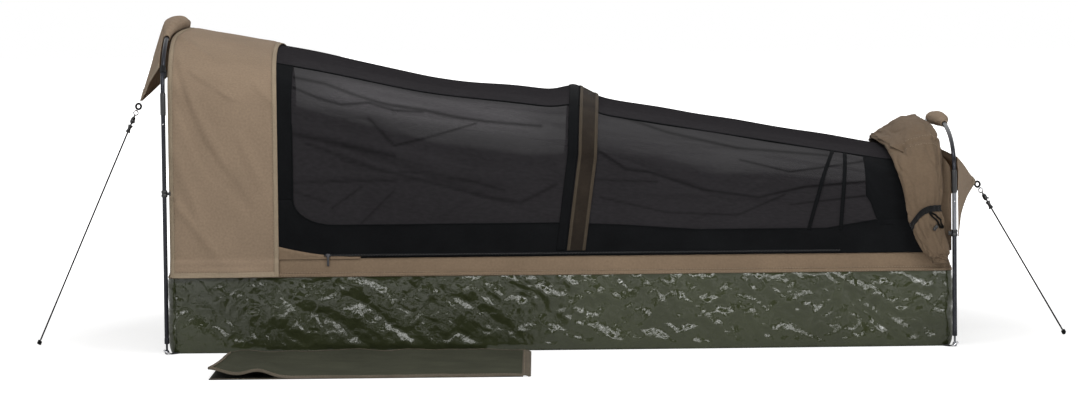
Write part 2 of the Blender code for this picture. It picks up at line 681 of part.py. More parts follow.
def make_zip(side):
    name = SIDE_NAMES[side]
    wall = CANOPY_WIDTH / 2 + BORDER_OUT + BORDER_THICK + CLEAR
    length = ZIP_FOOT_EDGE - ZIP_HEAD_EDGE
    middle = (ZIP_FOOT_EDGE + ZIP_HEAD_EDGE) / 2
    box("zip_" + name, (length, ZIP_THICK, ZIP_WIDTH), (middle, side * (wall + ZIP_THICK / 2), ZIP_HEIGHT), "border")
    slider_y = wall + ZIP_THICK + CLEAR + SLIDER_DEPTH / 2
    slider_x = ZIP_HEAD_EDGE + SLIDER_LENGTH
    box("zip_slider_" + name, (SLIDER_LENGTH, SLIDER_DEPTH, SLIDER_HEIGHT),
        (slider_x, side * slider_y, ZIP_HEIGHT), "steel")
    pull_y = slider_y + SLIDER_DEPTH / 2 + CLEAR + PULL_THICK / 2
    box("zip_pull_" + name, (PULL_WIDTH, PULL_THICK, PULL_LENGTH),
        (slider_x, side * pull_y, ZIP_HEIGHT - PULL_LENGTH / 2), "steel")


# Rolled cover

def roll_ring(girth, out=0.0):
    share = min(abs(girth), 1.0) ** 2
    tail = max(abs(girth) - 1.0, 0.0) / (ROLL_HEM_SHARES[-1] - 1.0)
    taper = mix(1.0, ROLL_END_SHARE, tail)
    half = mix(ROLL_HALF_TOP, ROLL_HALF_RIM, share) * taper
    depth = mix(ROLL_DEPTH_TOP, ROLL_DEPTH_RIM, share) * taper
    centre_x = RIM_END - mix(ROLL_INSET_TOP, ROLL_INSET_RIM, share)
    base = BORDER_OUT + BORDER_THICK + ROLL_OUT + depth
    ring = []
    for side in range(ROLL_SIDES):
        angle = 2 * math.pi * side / ROLL_SIDES
        fold = 1.0 - ROLL_FOLD_SHARE * (0.5 + 0.5 * math.cos(ROLL_FOLDS * angle + ROLL_TURNS * girth))
        x = centre_x + math.cos(angle) * (half * fold + out)
        ring.append(canopy_point(x, girth, base + math.sin(angle) * (depth * fold + out)))
    return ring


def make_roll():
    outer = list(ROLL_STRAP_SHARES) + list(ROLL_HEM_SHARES)
    girths = [-girth for girth in outer[::-1]] + canopy_girths()[1:-1] + outer
    loft("cover_roll", [roll_ring(girth) for girth in girths], "canvas")
    for side in (NEAR, FAR):
        low, high = (side * share for share in ROLL_STRAP_SHARES)
        outside = ROLL_STRAP_GAP + ROLL_STRAP_THICK
        rings = [roll_ring(low, outside), roll_ring(high, outside),
                 roll_ring(high, ROLL_STRAP_GAP), roll_ring(low, ROLL_STRAP_GAP)]
        loft("roll_strap_" + SIDE_NAMES[side], rings, "webbing", closed=True)


# Hoops

def hoop_point(end, girth, out=0.0):
    shoulder = HOOP_TOP[end] - HOOP_RISE[end]
    y, z, normal_y, normal_z = arch(HOOP_HALF, shoulder, HOOP_RISE[end], HOOP_POWER, girth)
    if abs(girth) > SHOULDER_SHARE:
        z = mix(shoulder, PIVOT_HEIGHT, (abs(girth) - SHOULDER_SHARE) / (1.0 - SHOULDER_SHARE))
    return Vector((end * HOOP_X, y + out * normal_y, z + out * normal_z))


def collar_bottom(end):
    return HOOP_TOP[end] - HOOP_RISE[end] - COLLAR_LENGTH


def make_crown(end):
    shoulder = HOOP_TOP[end] - HOOP_RISE[end]
    arc = [hoop_point(end, mix(-SHOULDER_SHARE, SHOULDER_SHARE, step / HOOP_STEPS)) for step in range(HOOP_STEPS + 1)]
    near = Vector((end * HOOP_X, -HOOP_HALF, collar_bottom(end)))
    far = Vector((end * HOOP_X, HOOP_HALF, collar_bottom(end)))
    step = Vector((0.0, 0.0, COLLAR_LENGTH - POLE_RADIUS / 2))
    arc[0].z = arc[-1].z = shoulder
    points = [near, near + step] + arc + [far + step, far]
    shares = [COLLAR_SHARE, COLLAR_SHARE] + [1.0] * len(arc) + [COLLAR_SHARE, COLLAR_SHARE]
    tube(END_NAMES[end] + "_hoop_crown", points, POLE_RADIUS, "pole", shares)


def make_leg(end, side):
    # A pole with a turned pin below it, whose ball sits in the corner ring.
    top = collar_bottom(end) - CLEAR - PIVOT_HEIGHT
    step = LEG_BOTTOM - PIVOT_HEIGHT
    lip = math.asin(SHANK_RADIUS / BALL_RADIUS)
    angles = [mix(lip, math.pi, index / BALL_STEPS) for index in range(BALL_STEPS + 1)]
    ball = [(BALL_RADIUS * math.sin(angle), BALL_RADIUS * math.cos(angle)) for angle in angles[:-1]]
    profile = [(0.0, top), (POLE_RADIUS, top), (POLE_RADIUS, step), (SHANK_RADIUS, step)]
    profile += ball + [(0.0, -BALL_RADIUS)]
    name = END_NAMES[end] + "_hoop_leg_" + SIDE_NAMES[side]
    turned(name, profile, (end * HOOP_X, side * HOOP_HALF, PIVOT_HEIGHT), "pole")


def make_corner(end, side):
    # The ring that holds a leg's ball, and the webbing that ties it to the tub's corner.
    name = END_NAMES[end] + "_" + SIDE_NAMES[side]
    pivot = Vector((end * HOOP_X, side * HOOP_HALF, PIVOT_HEIGHT))
    torus("corner_ring_" + name, RING_RADIUS, RING_WIRE, pivot, (0.0, -end * RING_TILT, 0.0), "steel")
    corner = Vector((end * (TUB_LENGTH / 2 - TUB_CORNER), side * (TUB_WIDTH / 2 - TUB_CORNER), 0.0))
    start = Vector((pivot.x, pivot.y, 0.0))
    along = (corner - start).normalized()
    reach = RING_RADIUS / math.hypot(along.x / math.cos(RING_TILT), along.y)
    first = start + along * (reach + RING_WIRE + CLEAR)
    last = corner - along * (TUB_CORNER + CLEAR)
    centre = (first + last) / 2
    centre.z = STRAP_THICK / 2 + CLEAR
    strap = box("corner_strap_" + name, ((last - first).length, STRAP_WIDTH, STRAP_THICK), centre, "webbing")
    strap.rotation_euler = (0.0, 0.0, math.atan2(along.y, along.x))


def make_sleeve(end):
    outer, inner = [], []
    for step in range(-SLEEVE_SPANS, SLEEVE_SPANS + 1):
        girth = SLEEVE_END_SHARE * step / SLEEVE_SPANS
        centre = hoop_point(end, girth)
        outward = hoop_point(end, girth, 1.0) - centre
        depth = mix(SLEEVE_HALF_END, SLEEVE_DEPTH, (sleeve_half(girth) - SLEEVE_HALF_END)
                    / (SLEEVE_HALF_TOP - SLEEVE_HALF_END))
        angles = [2 * math.pi * side / SLEEVE_SIDES for side in range(SLEEVE_SIDES)]
        along = Vector((1, 0, 0))
        outer.append([centre + along * (math.cos(angle) * sleeve_half(girth)) + outward * (math.sin(angle) * depth)
                      for angle in angles])
        inner.append([centre + along * (math.cos(angle) * SLEEVE_BORE) + outward * (math.sin(angle) * SLEEVE_BORE)
                      for angle in angles])
    loft(END_NAMES[end] + "_crown_sleeve", outer + inner[::-1], "canvas", closed=True)


def flap_tip(end):
    return Vector((end * (HOOP_X + TIP_REACH), 0.0, TIP_HEIGHT[end]))


def flap_point(end, across, along):
    reach = FLAP_GIRTH_SHARE[end] * (1.0 - FLAP_CUT_SHARE * 4.0 * along * (1.0 - along))
    girth = mix(-reach, reach, across)
    edge = hoop_point(end, girth)
    edge.x += end * (sleeve_half(girth) + CLEAR + CLEAR + FLAP_THICK / 2)
    return edge.lerp(flap_tip(end), along * (1.0 - FLAP_TIP_SHARE))


def make_flap(end):
    def surface(across, along):
        return flap_point(end, across, along)

    mapped_grid(END_NAMES[end] + "_gable_flap", FLAP_COLUMNS, FLAP_ROWS, surface, FLAP_THICK, "canvas", 0.0)


def make_guy(end):
    # The loop and hook at the flap's tip, the rope with its tensioner, and the knot on the ground.
    name = END_NAMES[end]
    hem = flap_point(end, *FLAP_LOOP_SHARES)
    knot = Vector((end * (HOOP_X + GUY_REACH[end]), -GUY_SPLAY, KNOT_RADIUS + KNOT_LIFT))
    along = (knot - hem).normalized()
    turn = along.to_track_quat("X", "Y").to_euler()
    loop = hem + along * (LOOP_RADIUS + LOOP_WIRE + CLEAR + CLEAR)
    hook = loop + along * (LOOP_RADIUS + LOOP_WIRE + CLEAR + HOOK_RADIUS + HOOK_WIRE)
    torus(name + "_flap_loop", LOOP_RADIUS, LOOP_WIRE, loop, turn, "webbing")
    torus(name + "_guy_hook", HOOK_RADIUS, HOOK_WIRE, hook, turn, "steel")
    start = hook + along * (HOOK_RADIUS + HOOK_WIRE + CLEAR)
    finish = knot - along * (KNOT_RADIUS + CLEAR)
    rope = [start.lerp(finish, index / (ROPE_POINTS - 1)) for index in range(ROPE_POINTS)]
    tube(name + "_guy_rope", rope, ROPE_RADIUS, "rope")
    half = TENSIONER_LENGTH / 2
    profile = [(TENSIONER_RADIUS, half), (TENSIONER_RADIUS, -half), (TENSIONER_BORE, -half), (TENSIONER_BORE, half)]
    tensioner = turned(name + "_guy_tensioner", profile, start + along * TENSIONER_AT, "plastic", closed=True)
    tensioner.rotation_euler = along.to_track_quat("Z", "Y").to_euler()
    bpy.ops.mesh.primitive_uv_sphere_add(segments=12, ring_count=8, radius=KNOT_RADIUS, location=knot)
    knot_object = bpy.context.object
    knot_object.name = name + "_guy_knot"
    place(knot_object, "rope")


def make_clip(end, side):
    # A collar round the leg, with an arm towards the canopy.
    centre = Vector((end * HOOP_X, side * HOOP_HALF, CLIP_HEIGHT[end]))
    name = END_NAMES[end] + "_pole_clip_" + SIDE_NAMES[side]
    half = CLIP_LENGTH / 2
    profile = [(CLIP_RADIUS, half), (CLIP_RADIUS, -half), (CLIP_BORE, -half), (CLIP_BORE, half)]
    clip = turned(name, profile, centre, "plastic", closed=True)
    arm_start = (CLIP_RADIUS + CLIP_BORE) / 2
    arm = box(name + "_arm", (CLIP_ARM - arm_start, CLIP_ARM_WIDTH, CLIP_LENGTH / 2),
              centre - Vector((end * (arm_start + CLIP_ARM) / 2, 0.0, 0.0)), "plastic")
    union(clip, arm)


def union(obj, other):
    join = obj.modifiers.new("join", "BOOLEAN")
    join.operation = "UNION"
    join.object = other
    other.hide_render = True
    other.display_type = "WIRE"
    COLLECTION.objects.unlink(other)
    CUTTERS.objects.link(other)


def make_crown_tab(side):
    # Webbing from the head crown to the edge of the canvas, lying along the pole.
    pole = hoop_point(HEAD, side * TAB_GIRTH_SHARE)
    along = (hoop_point(HEAD, side * (TAB_GIRTH_SHARE - TAB_RISE_SHARE)) - pole).normalized()
    reach = canopy_point(CANVAS_HEAD_EDGE, side * TAB_GIRTH_SHARE, CANVAS_OUT) - pole
    reach -= along * reach.dot(along)
    inward = reach.normalized()
    start = POLE_RADIUS + TAB_GAP
    length = reach.length - start - TAB_SLACK
    tab = box("head_crown_tab_" + SIDE_NAMES[side], (TAB_THICK, TAB_LENGTH, length),
              pole + inward * (start + length / 2), "webbing")
    tab.rotation_euler = Matrix((along.cross(inward), along, inward)).transposed().to_euler()


# Mat

def mat_top(across, along):
    x = mix(MAT_HEAD_EDGE, MAT_FOOT_EDGE, across)
    y = MAT_HINGE_Y - MAT_DEPTH * (1.0 - along)
    mouths = zip(MAT_MOUTH_HEIGHTS, MAT_MOUTH_INSETS, MAT_MOUTH_SPREADS)
    gape = sum(swell(x, height, MAT_HEAD_EDGE + inset, spread) for height, inset, spread in mouths)
    wave = MAT_WAVE * (0.5 - 0.5 * math.cos(2 * math.pi * x / MAT_WAVE_LENGTH)) * math.sin(math.pi * across)
    wave *= mix(MAT_WAVE_FRONT_SHARE, 1.0, along) * math.sin(math.pi * min(1.0, MAT_WAVE_BACK_SHARE * along))
    lift = gape * (1.0 - along) ** MAT_GAPE_POWER + wave
    return Vector((x, y, MAT_LAYER + CLEAR + MAT_LAYER + lift))


def make_mat():
    middle = (MAT_FOOT_EDGE + MAT_HEAD_EDGE) / 2
    box("mat_base", (MAT_LENGTH, MAT_DEPTH, MAT_LAYER), (middle, MAT_HINGE_Y - MAT_DEPTH / 2, MAT_LAYER / 2), "mat")
    mapped_grid("mat_top", MAT_COLUMNS, MAT_ROWS, mat_top, MAT_LAYER, "mat")
    height = MAT_LAYER + MAT_LAYER + CLEAR
    box("mat_end_tape", (MAT_TAPE, MAT_DEPTH, height),
        (MAT_FOOT_EDGE + CLEAR + MAT_TAPE / 2, MAT_HINGE_Y - MAT_DEPTH / 2, height / 2), "tape")
    wall = -TUB_WIDTH / 2 - TUB_BOW - CLEAR
    depth = wall - MAT_HINGE_Y - CLEAR
    box("mat_strip", (MAT_LENGTH - 2 * MAT_STRIP_INSET, depth, MAT_STRIP_THICK),
        (middle, wall - depth / 2, MAT_STRIP_THICK / 2), "webbing")


def make_all():
    make_tub()
    make_band()
    make_mattress()
    make_head_canvas()
    make_net()
    make_strip_and_tape()
    make_ties()
    make_roll()
    make_mat()
    for end in (HEAD, FOOT):
        make_end_wall(end)
        make_crown(end)
        make_sleeve(end)
        make_flap(end)
        make_guy(end)
        for side in (NEAR, FAR):
            make_leg(end, side)
            make_corner(end, side)
            make_clip(end, side)
    for side in (NEAR, FAR):
        make_border(side)
        make_zip(side)
        make_crown_tab(side)


clear_scene()
COLLECTION = make_collection()
CUTTERS = bpy.data.collections.new("joined_pieces")
bpy.context.scene.collection.children.link(CUTTERS)
MATERIALS = make_materials()
make_all()
print("pieces:", len(COLLECTION.objects))
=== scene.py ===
# Swag bedroll: the finish of every piece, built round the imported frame
# Metres, +X to the foot end, -Y the near side
from math import asin, copysign, cos, exp, hypot, pi, radians, sin, sqrt

import bmesh
import bpy
from mathutils import Matrix, Vector, noise


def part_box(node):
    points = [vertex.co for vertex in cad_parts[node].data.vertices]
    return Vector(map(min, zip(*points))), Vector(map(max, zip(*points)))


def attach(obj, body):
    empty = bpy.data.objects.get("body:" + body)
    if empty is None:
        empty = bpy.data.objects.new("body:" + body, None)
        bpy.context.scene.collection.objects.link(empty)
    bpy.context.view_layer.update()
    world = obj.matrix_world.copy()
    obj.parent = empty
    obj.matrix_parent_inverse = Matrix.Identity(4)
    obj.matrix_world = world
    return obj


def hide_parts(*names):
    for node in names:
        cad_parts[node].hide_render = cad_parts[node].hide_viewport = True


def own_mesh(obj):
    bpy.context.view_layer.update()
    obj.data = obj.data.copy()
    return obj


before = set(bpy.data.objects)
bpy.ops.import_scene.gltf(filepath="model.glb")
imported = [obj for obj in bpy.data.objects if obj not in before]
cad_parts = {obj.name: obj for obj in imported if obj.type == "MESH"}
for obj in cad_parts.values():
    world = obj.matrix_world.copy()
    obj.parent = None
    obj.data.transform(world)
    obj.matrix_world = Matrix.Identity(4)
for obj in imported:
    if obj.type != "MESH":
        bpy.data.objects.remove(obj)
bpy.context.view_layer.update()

head, foot = -1, 1
near, far = -1, 1
endNames = {head: "head", foot: "foot"}
sideNames = {near: "near", far: "far"}
sideTags = {near: "Near", far: "Far"}
print("frame loaded:", len(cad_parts), "nodes")


# Camera, light and stage

cameraSettings = {"place": (-0.054, -10.95, 1.08), "pitch": 3.75, "roll": 0.6, "focalPixels": 3895,
                  "sensor": 36, "imageWidth": 1079}
lightSettings = {
    "worldLevel": 0.34, "aim": (0.0, 0.0, 0.3),
    "lamps": [  # name, place, size across, size up, watts
        ("keySoftbox", (-2.6, -4.2, 3.2), 1.6, 0.6, 56),
        ("fillSoftbox", (2.9, -4.2, 2.7), 1.4, 0.6, 46),
        ("topSoftbox", (0.2, -1.2, 3.8), 2.6, 0.6, 42),
        ("lowStrip", (0.4, -5.2, 2.3), 4.0, 0.30, 26),
    ],
    "room": ((0.0, -13.0, 4.0), 16.0, 16.0, 0.03),  # place, half width, half height, strength
    "cards": [  # the same for each card: only shiny surfaces see them
        ((-4.8, -8.5, 2.9), 1.2, 1.1, 5.0), ((-1.5, -8.5, 3.2), 0.9, 1.2, 5.0),
        ((-0.9, -8.5, 3.5), 0.3, 0.3, 9.0), ((1.5, -8.5, 3.0), 1.0, 1.3, 5.5),
        ((2.1, -8.5, 3.3), 0.3, 0.4, 10.0), ((4.9, -8.5, 2.9), 1.3, 1.3, 5.5),
    ],
    "floorHalf": 30.0, "floorColor": (0.93, 0.93, 0.93, 1.0),
    "floorNear": 1.30, "floorFar": 2.60, "floorShare": 0.44,
    "floorShine": 0.06, "floorGlow": 1.60,
}


def makeCamera():
    pitch, roll = radians(cameraSettings["pitch"]), radians(cameraSettings["roll"])
    forward = Vector((0.0, cos(pitch), -sin(pitch)))
    level = Vector((1.0, 0.0, 0.0))
    upright = level.cross(forward)
    right = level * cos(roll) - upright * sin(roll)
    up = level * sin(roll) + upright * cos(roll)
    data = bpy.data.cameras.new("camera")
    data.sensor_width = cameraSettings["sensor"]
    data.lens = cameraSettings["focalPixels"] / cameraSettings["imageWidth"] * cameraSettings["sensor"]
    camera = addObject("camera", data)
    turn = Matrix((right, up, -forward)).transposed().to_4x4()
    camera.matrix_world = Matrix.Translation(cameraSettings["place"]) @ turn
    bpy.context.scene.camera = camera


def seenShare(tree, rays):
    # 1 for what the camera, a reflection or a see-through cloth sees, 0 for what only lights.
    seen = addMath(tree, "MAXIMUM", rays.outputs["Is Camera Ray"], rays.outputs["Is Glossy Ray"])
    return addMath(tree, "MAXIMUM", seen, rays.outputs["Is Transmission Ray"])


def makeLights():
    world = bpy.data.worlds.new("studio")
    bpy.context.scene.world = world
    world.use_nodes = True
    tree = world.node_tree
    background = tree.nodes["Background"]
    background.inputs["Color"].default_value = (1.0, 1.0, 1.0, 1.0)
    seen = seenShare(tree, tree.nodes.new("ShaderNodeLightPath"))
    tree.links.new(addRange(tree, seen, 0.0, 1.0, lightSettings["worldLevel"], 1.0),
                   background.inputs["Strength"])
    for name, place, across, up, watts in lightSettings["lamps"]:
        data = bpy.data.lights.new(name, "AREA")
        data.shape = "RECTANGLE"
        data.size, data.size_y, data.energy = across, up, watts
        lamp = addObject(name, data)
        lamp.location = place
        aim = Vector(lightSettings["aim"]) - Vector(place)
        lamp.rotation_euler = aim.to_track_quat("-Z", "Y").to_euler()


def stageMaterial(name):
    material = bpy.data.materials.new(name)
    material.use_nodes = True
    material.node_tree.nodes.clear()
    return material, material.node_tree


def showShader(tree, shader):
    output = tree.nodes.new("ShaderNodeOutputMaterial")
    tree.links.new(shader.outputs[0], output.inputs["Surface"])


def makeStage():
    # A white floor, and the dark end of the studio behind the camera with its lit cards, seen only as shine
    settings = lightSettings
    material, tree = stageMaterial("whiteFloor")
    rays = tree.nodes.new("ShaderNodeLightPath")
    place = tree.nodes.new("ShaderNodeTexCoord").outputs["Object"]
    reach = addNode(tree, "ShaderNodeVectorMath", {0: place}, operation="LENGTH").outputs["Value"]
    close = addRange(tree, rays.outputs["Is Camera Ray"], 0.0, 1.0, settings["floorShine"],
                     settings["floorShare"])
    share = addRange(tree, reach, settings["floorNear"], settings["floorFar"], close, 1.0)
    share = addMath(tree, "MULTIPLY", seenShare(tree, rays), share)
    diffuse = addNode(tree, "ShaderNodeBsdfDiffuse", {"Color": settings["floorColor"]})
    glow = addNode(tree, "ShaderNodeEmission",
                   {"Color": (1.0, 1.0, 1.0, 1.0), "Strength": settings["floorGlow"]})
    showShader(tree, addNode(tree, "ShaderNodeMixShader",
                             {0: share, 1: diffuse.outputs[0], 2: glow.outputs[0]}))
    bm = bmesh.new()
    bmesh.ops.create_grid(bm, x_segments=1, y_segments=1, size=settings["floorHalf"])
    floor = makeObject("floor", bm, material)
    cards = [makeCard(f"studioCard{number}", *card) for number, card in enumerate(settings["cards"])]
    makeCard("darkRoomWall", *settings["room"])


def makeCard(name, place, wide, high, strength):
    material, tree = stageMaterial(name)
    showShader(tree, addNode(tree, "ShaderNodeEmission", {"Strength": strength}))
    bm = bmesh.new()
    turn = Matrix.Translation(place) @ Matrix.Rotation(pi / 2, 4, "X")
    turn = turn @ Matrix.Diagonal((wide, high, 1.0, 1.0))
    bmesh.ops.create_grid(bm, x_segments=1, y_segments=1, size=1.0, matrix=turn)
    card = makeObject(name, bm, material)
    for kind in ("camera", "diffuse", "transmission", "volume_scatter", "shadow"):
        setattr(card, "visible_" + kind, False)
    return card


# Small helpers

def mix(low, high, share):
    return low + (high - low) * share


def swell(place, height, middle, spread):
    return height * exp(-((place - middle) / spread) ** 2)


def clamp(value, low=0.0, high=1.0):
    return max(low, min(high, value))


def smooth(share):
    share = clamp(share)
    return share * share * (3.0 - 2.0 * share)


def waver(x, y, z):
    # Soft noise of cloth, about -1 to 1.
    return noise.noise(Vector((x, y, z)))


def lineHeight(line, x):
    # The height at x of a chain of (place, height).
    for (lowX, low), (highX, high) in zip(line, line[1:]):
        if x <= highX:
            return mix(low, high, clamp((x - lowX) / (highX - lowX)))
    return line[-1][1]


def ridges(lines, across, up):
    # Folds along straight lines: each has its two ends, a width and a height, and fades at both ends.
    total = 0.0
    for startX, startUp, endX, endUp, width, height in lines:
        alongX, alongUp = endX - startX, endUp - startUp
        span = alongX * alongX + alongUp * alongUp
        share = ((across - startX) * alongX + (up - startUp) * alongUp) / span
        if -0.1 < share < 1.1:
            gap = abs((across - startX) * alongUp - (up - startUp) * alongX) / sqrt(span)
            if gap < 4 * width:
                fade = smooth((share + 0.1) * 4) * smooth((1.1 - share) * 2)
                total += height * exp(-(gap / width) ** 2) * fade
    return total


def corners(node):
    # The two far corners of a node's box in the frame.
    low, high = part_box(node)
    return Vector(low), Vector(high)


def middleOf(node):
    low, high = corners(node)
    return (low + high) / 2


def addNode(tree, kind, inputs=None, **settings):
    node = tree.nodes.new(kind)
    for key, value in settings.items():
        setattr(node, key, value)
    for key, value in (inputs or {}).items():
        if isinstance(value, bpy.types.NodeSocket):
            tree.links.new(value, node.inputs[key])
        else:
            node.inputs[key].default_value = value
    return node


def addMath(tree, operation, *values, **settings):
    return addNode(tree, "ShaderNodeMath", dict(enumerate(values)), operation=operation,
                   **settings).outputs[0]


def addRange(tree, value, low, high, newLow=0.0, newHigh=1.0):
    return addNode(tree, "ShaderNodeMapRange", {0: value, 1: low, 2: high, 3: newLow, 4: newHigh}).outputs[0]


def addNoise(tree, coords, scale, detail, distortion=0.0, **settings):
    return addNode(tree, "ShaderNodeTexNoise", {"Vector": coords, "Scale": scale, "Detail": detail,
                                                "Distortion": distortion}, **settings).outputs[0]


def addMix(tree, share, first, second):
    return addNode(tree, "ShaderNodeMix", {0: share, 6: first, 7: second}, data_type="RGBA").outputs[2]


def addMapping(tree, coords, scale, turn=0.0):
    mapping = {"Vector": coords, "Rotation": (0.0, 0.0, turn), "Scale": scale}
    return addNode(tree, "ShaderNodeMapping", mapping).outputs[0]


def addBump(tree, shader, height, strength, distance):
    rise = addNode(tree, "ShaderNodeBump", {"Height": height, "Strength": strength, "Distance": distance})
    tree.links.new(rise.outputs[0], shader.inputs["Normal"])


def addObject(name, data):
    obj = bpy.data.objects.new(name, data)
    bpy.context.scene.collection.objects.link(obj)
    return obj


def makeObject(name, bm, material, sharp=None):
    mesh = bpy.data.meshes.new(name)
    bm.to_mesh(mesh)
    bm.free()
    mesh.shade_smooth()
    obj = addObject(name, mesh)
    mesh.materials.append(material)
    if sharp:
        mesh.set_sharp_from_angle(angle=radians(sharp))
    return obj


weldDistance = {"fine": 0.00001, "cloth": 0.00005}


def thicken(obj, thickness, offset=0.0):
    solidify = obj.modifiers.new("cloth", "SOLIDIFY")
    solidify.thickness = thickness
    solidify.offset = offset
    return obj


def gridMesh(cells, surface, size=None, weld=None):
    # A flat grid laid on surface(across, along), both 0 to 1. Its UV map holds its flat size in metres.
    bm = bmesh.new()
    bmesh.ops.create_grid(bm, x_segments=cells[0], y_segments=cells[1], size=1.0)
    if size:
        layer = bm.loops.layers.uv.verify()
        for face in bm.faces:
            for loop in face.loops:
                place = loop.vert.co
                loop[layer].uv = ((place.x + 1.0) / 2.0 * size[0], (place.y + 1.0) / 2.0 * size[1])
    for vert in bm.verts:
        vert.co = surface((vert.co.x + 1.0) / 2.0, (vert.co.y + 1.0) / 2.0)
    if weld:
        bmesh.ops.remove_doubles(bm, verts=bm.verts, dist=weld)
    return bm


def makeCloth(name, cells, surface, size, material, thickness=0.0012, offset=0.0):
    obj = makeObject(name, gridMesh(cells, surface, size), material)
    return thicken(obj, thickness, offset) if thickness else obj


def extrudeRim(bm, rim):
    # Extrudes a rim of edges. Gives the new rim and its vertices.
    made = bmesh.ops.extrude_edge_only(bm, edges=rim)["geom"]
    edges = [item for item in made if isinstance(item, bmesh.types.BMEdge) and item.is_boundary]
    return edges, [item for item in made if isinstance(item, bmesh.types.BMVert)]


def makeTube(name, points, radius, material, resolution=4):
    # A tube along the points, as a mesh with closed ends.
    curve = bpy.data.curves.new(name, "CURVE")
    curve.dimensions = "3D"
    curve.bevel_depth = radius
    curve.bevel_resolution = resolution
    curve.use_fill_caps = True
    spline = curve.splines.new("POLY")
    spline.points.add(len(points) - 1)
    for index, point in enumerate(points):
        spline.points[index].co = (*point, 1.0)
    holder = addObject(name + "Curve", curve)
    mesh = bpy.data.meshes.new_from_object(holder.evaluated_get(bpy.context.evaluated_depsgraph_get()))
    bpy.data.objects.remove(holder)
    bm = bmesh.new()
    bm.from_mesh(mesh)
    bpy.data.meshes.remove(mesh)
    bmesh.ops.remove_doubles(bm, verts=bm.verts, dist=weldDistance["fine"])
    return makeObject(name, bm, material, 50)


def makeTurned(name, profile, place, material, steps=28, closed=False):
    # A profile of (radius, height) spun round +Z, then moved by the matrix.
    bm = bmesh.new()
    verts = [bm.verts.new((radius, 0.0, height)) for radius, height in profile]
    edges = [bm.edges.new(pair) for pair in zip(verts, verts[1:])]
    if closed:
        edges.append(bm.edges.new((verts[-1], verts[0])))
    bmesh.ops.spin(bm, geom=verts + edges, cent=(0, 0, 0), axis=(0, 0, 1), angle=2 * pi, steps=steps,
                   use_merge=True)
    bmesh.ops.remove_doubles(bm, verts=bm.verts, dist=weldDistance["fine"])
    bmesh.ops.recalc_face_normals(bm, faces=bm.faces)
    bmesh.ops.transform(bm, matrix=place, verts=bm.verts)
    return makeObject(name, bm, material, 35)


def makeRing(name, radius, wire, place, material, sides=14, steps=36):
    turn = [2 * pi * side / sides for side in range(sides)]
    profile = [(radius + wire * cos(angle), wire * sin(angle)) for angle in turn]
    return makeTurned(name, profile, place, material, steps, closed=True)


def makeBlock(name, parts, material, bevel=0.0008):
    # Rounded blocks joined into one piece. Each part is its size and its middle.
    bm = bmesh.new()
    for size, middle in parts:
        cube = bmesh.ops.create_cube(bm, size=1.0)["verts"]
        bmesh.ops.scale(bm, vec=size, verts=cube)
        edges = list({edge for vert in cube for edge in vert.link_edges})
        rounded = bmesh.ops.bevel(bm, geom=edges, offset=bevel, offset_type="OFFSET", affect="EDGES",
                                  segments=3, profile=0.5, material=-1, clamp_overlap=True)
        bmesh.ops.transform(bm, matrix=Matrix.Translation(middle),
                            verts=list(set(rounded["verts"]) | {vert for vert in cube if vert.is_valid}))
    return makeObject(name, bm, material, 50)


def facing(direction, up=(0.0, 0.0, 1.0)):
    # A rotation whose +Z lies along the direction, and whose +Y is as near to up as it can be.
    forward = Vector(direction).normalized()
    sideways = Vector(up).cross(forward).normalized()
    return Matrix((sideways, forward.cross(sideways), forward)).transposed().to_4x4()


stitchSettings = {"step": 0.0075, "length": 0.0048, "width": 0.0011, "height": 0.0007}


def makeStitches(name, rows, material):
    # Threads along seams. Each row is a function from 0 to 1, its length and the side its threads lie on.
    bm = bmesh.new()
    for line, span, outward in rows:
        count = max(2, round(span / stitchSettings["step"]))
        for index in range(count):
            share = (index + 0.5) / count
            point, after = line(share), line(min(share + 0.2 / count, 1.0))
            along = (after - point).normalized()
            out = outward(point) if callable(outward) else Vector(outward)
            place = Matrix.Translation(point) @ facing(along, out)
            size = Matrix.Diagonal((stitchSettings["width"], stitchSettings["height"],
                                    stitchSettings["length"], 1.0))
            bmesh.ops.create_icosphere(bm, subdivisions=1, radius=0.55, matrix=place @ size)
    return makeObject(name, bm, material)


flatShare, rollShare = 0.1, 0.3  # height meant to be left of the canopy's cloth and of the roll when the hoops are folded; settle reads only whether it is given


def settle(obj, body, nodes=(), keep=None):
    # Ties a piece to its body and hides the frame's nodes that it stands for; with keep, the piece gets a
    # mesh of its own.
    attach(obj, body)
    if nodes:
        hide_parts(*nodes)
    if keep:
        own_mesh(obj)
    return obj


# Finishes

def startMaterial(name, color, roughness, metallic=0.0, coordinates="Object", **sockets):
    # Gives the material, its tree, its shader and the coordinates that its pattern uses.
    material = bpy.data.materials.new(name)
    material.use_nodes = True
    tree = material.node_tree
    shader = tree.nodes["Principled BSDF"]
    shader.inputs["Base Color"].default_value = (*color, 1.0)
    shader.inputs["Roughness"].default_value = roughness
    shader.inputs["Metallic"].default_value = metallic
    for key, value in sockets.items():
        shader.inputs[key.replace("_", " ")].default_value = value
    return material, tree, shader, tree.nodes.new("ShaderNodeTexCoord").outputs[coordinates]


def mottle(tree, shader, coords, color, scale, spread):
    # Colour that drifts between a darker and a lighter shade.
    cloud = addNode(tree, "ShaderNodeTexNoise", {"Vector": coords, "Scale": scale, "Detail": 4.0,
                                                 "Roughness": 0.6})
    darker, lighter = ((*(min(part * (1.0 + drift), 1.0) for part in color), 1.0)
                       for drift in (-spread, spread))
    tint = addMix(tree, addRange(tree, cloud.outputs[0], 0.30, 0.70), darker, lighter)
    tree.links.new(tint, shader.inputs["Base Color"])
    return tint


def addWave(tree, coords, scale, distortion, direction):
    return addNode(tree, "ShaderNodeTexWave", {"Vector": coords, "Scale": scale, "Distortion": distortion},
                   bands_direction=direction).outputs["Fac"]


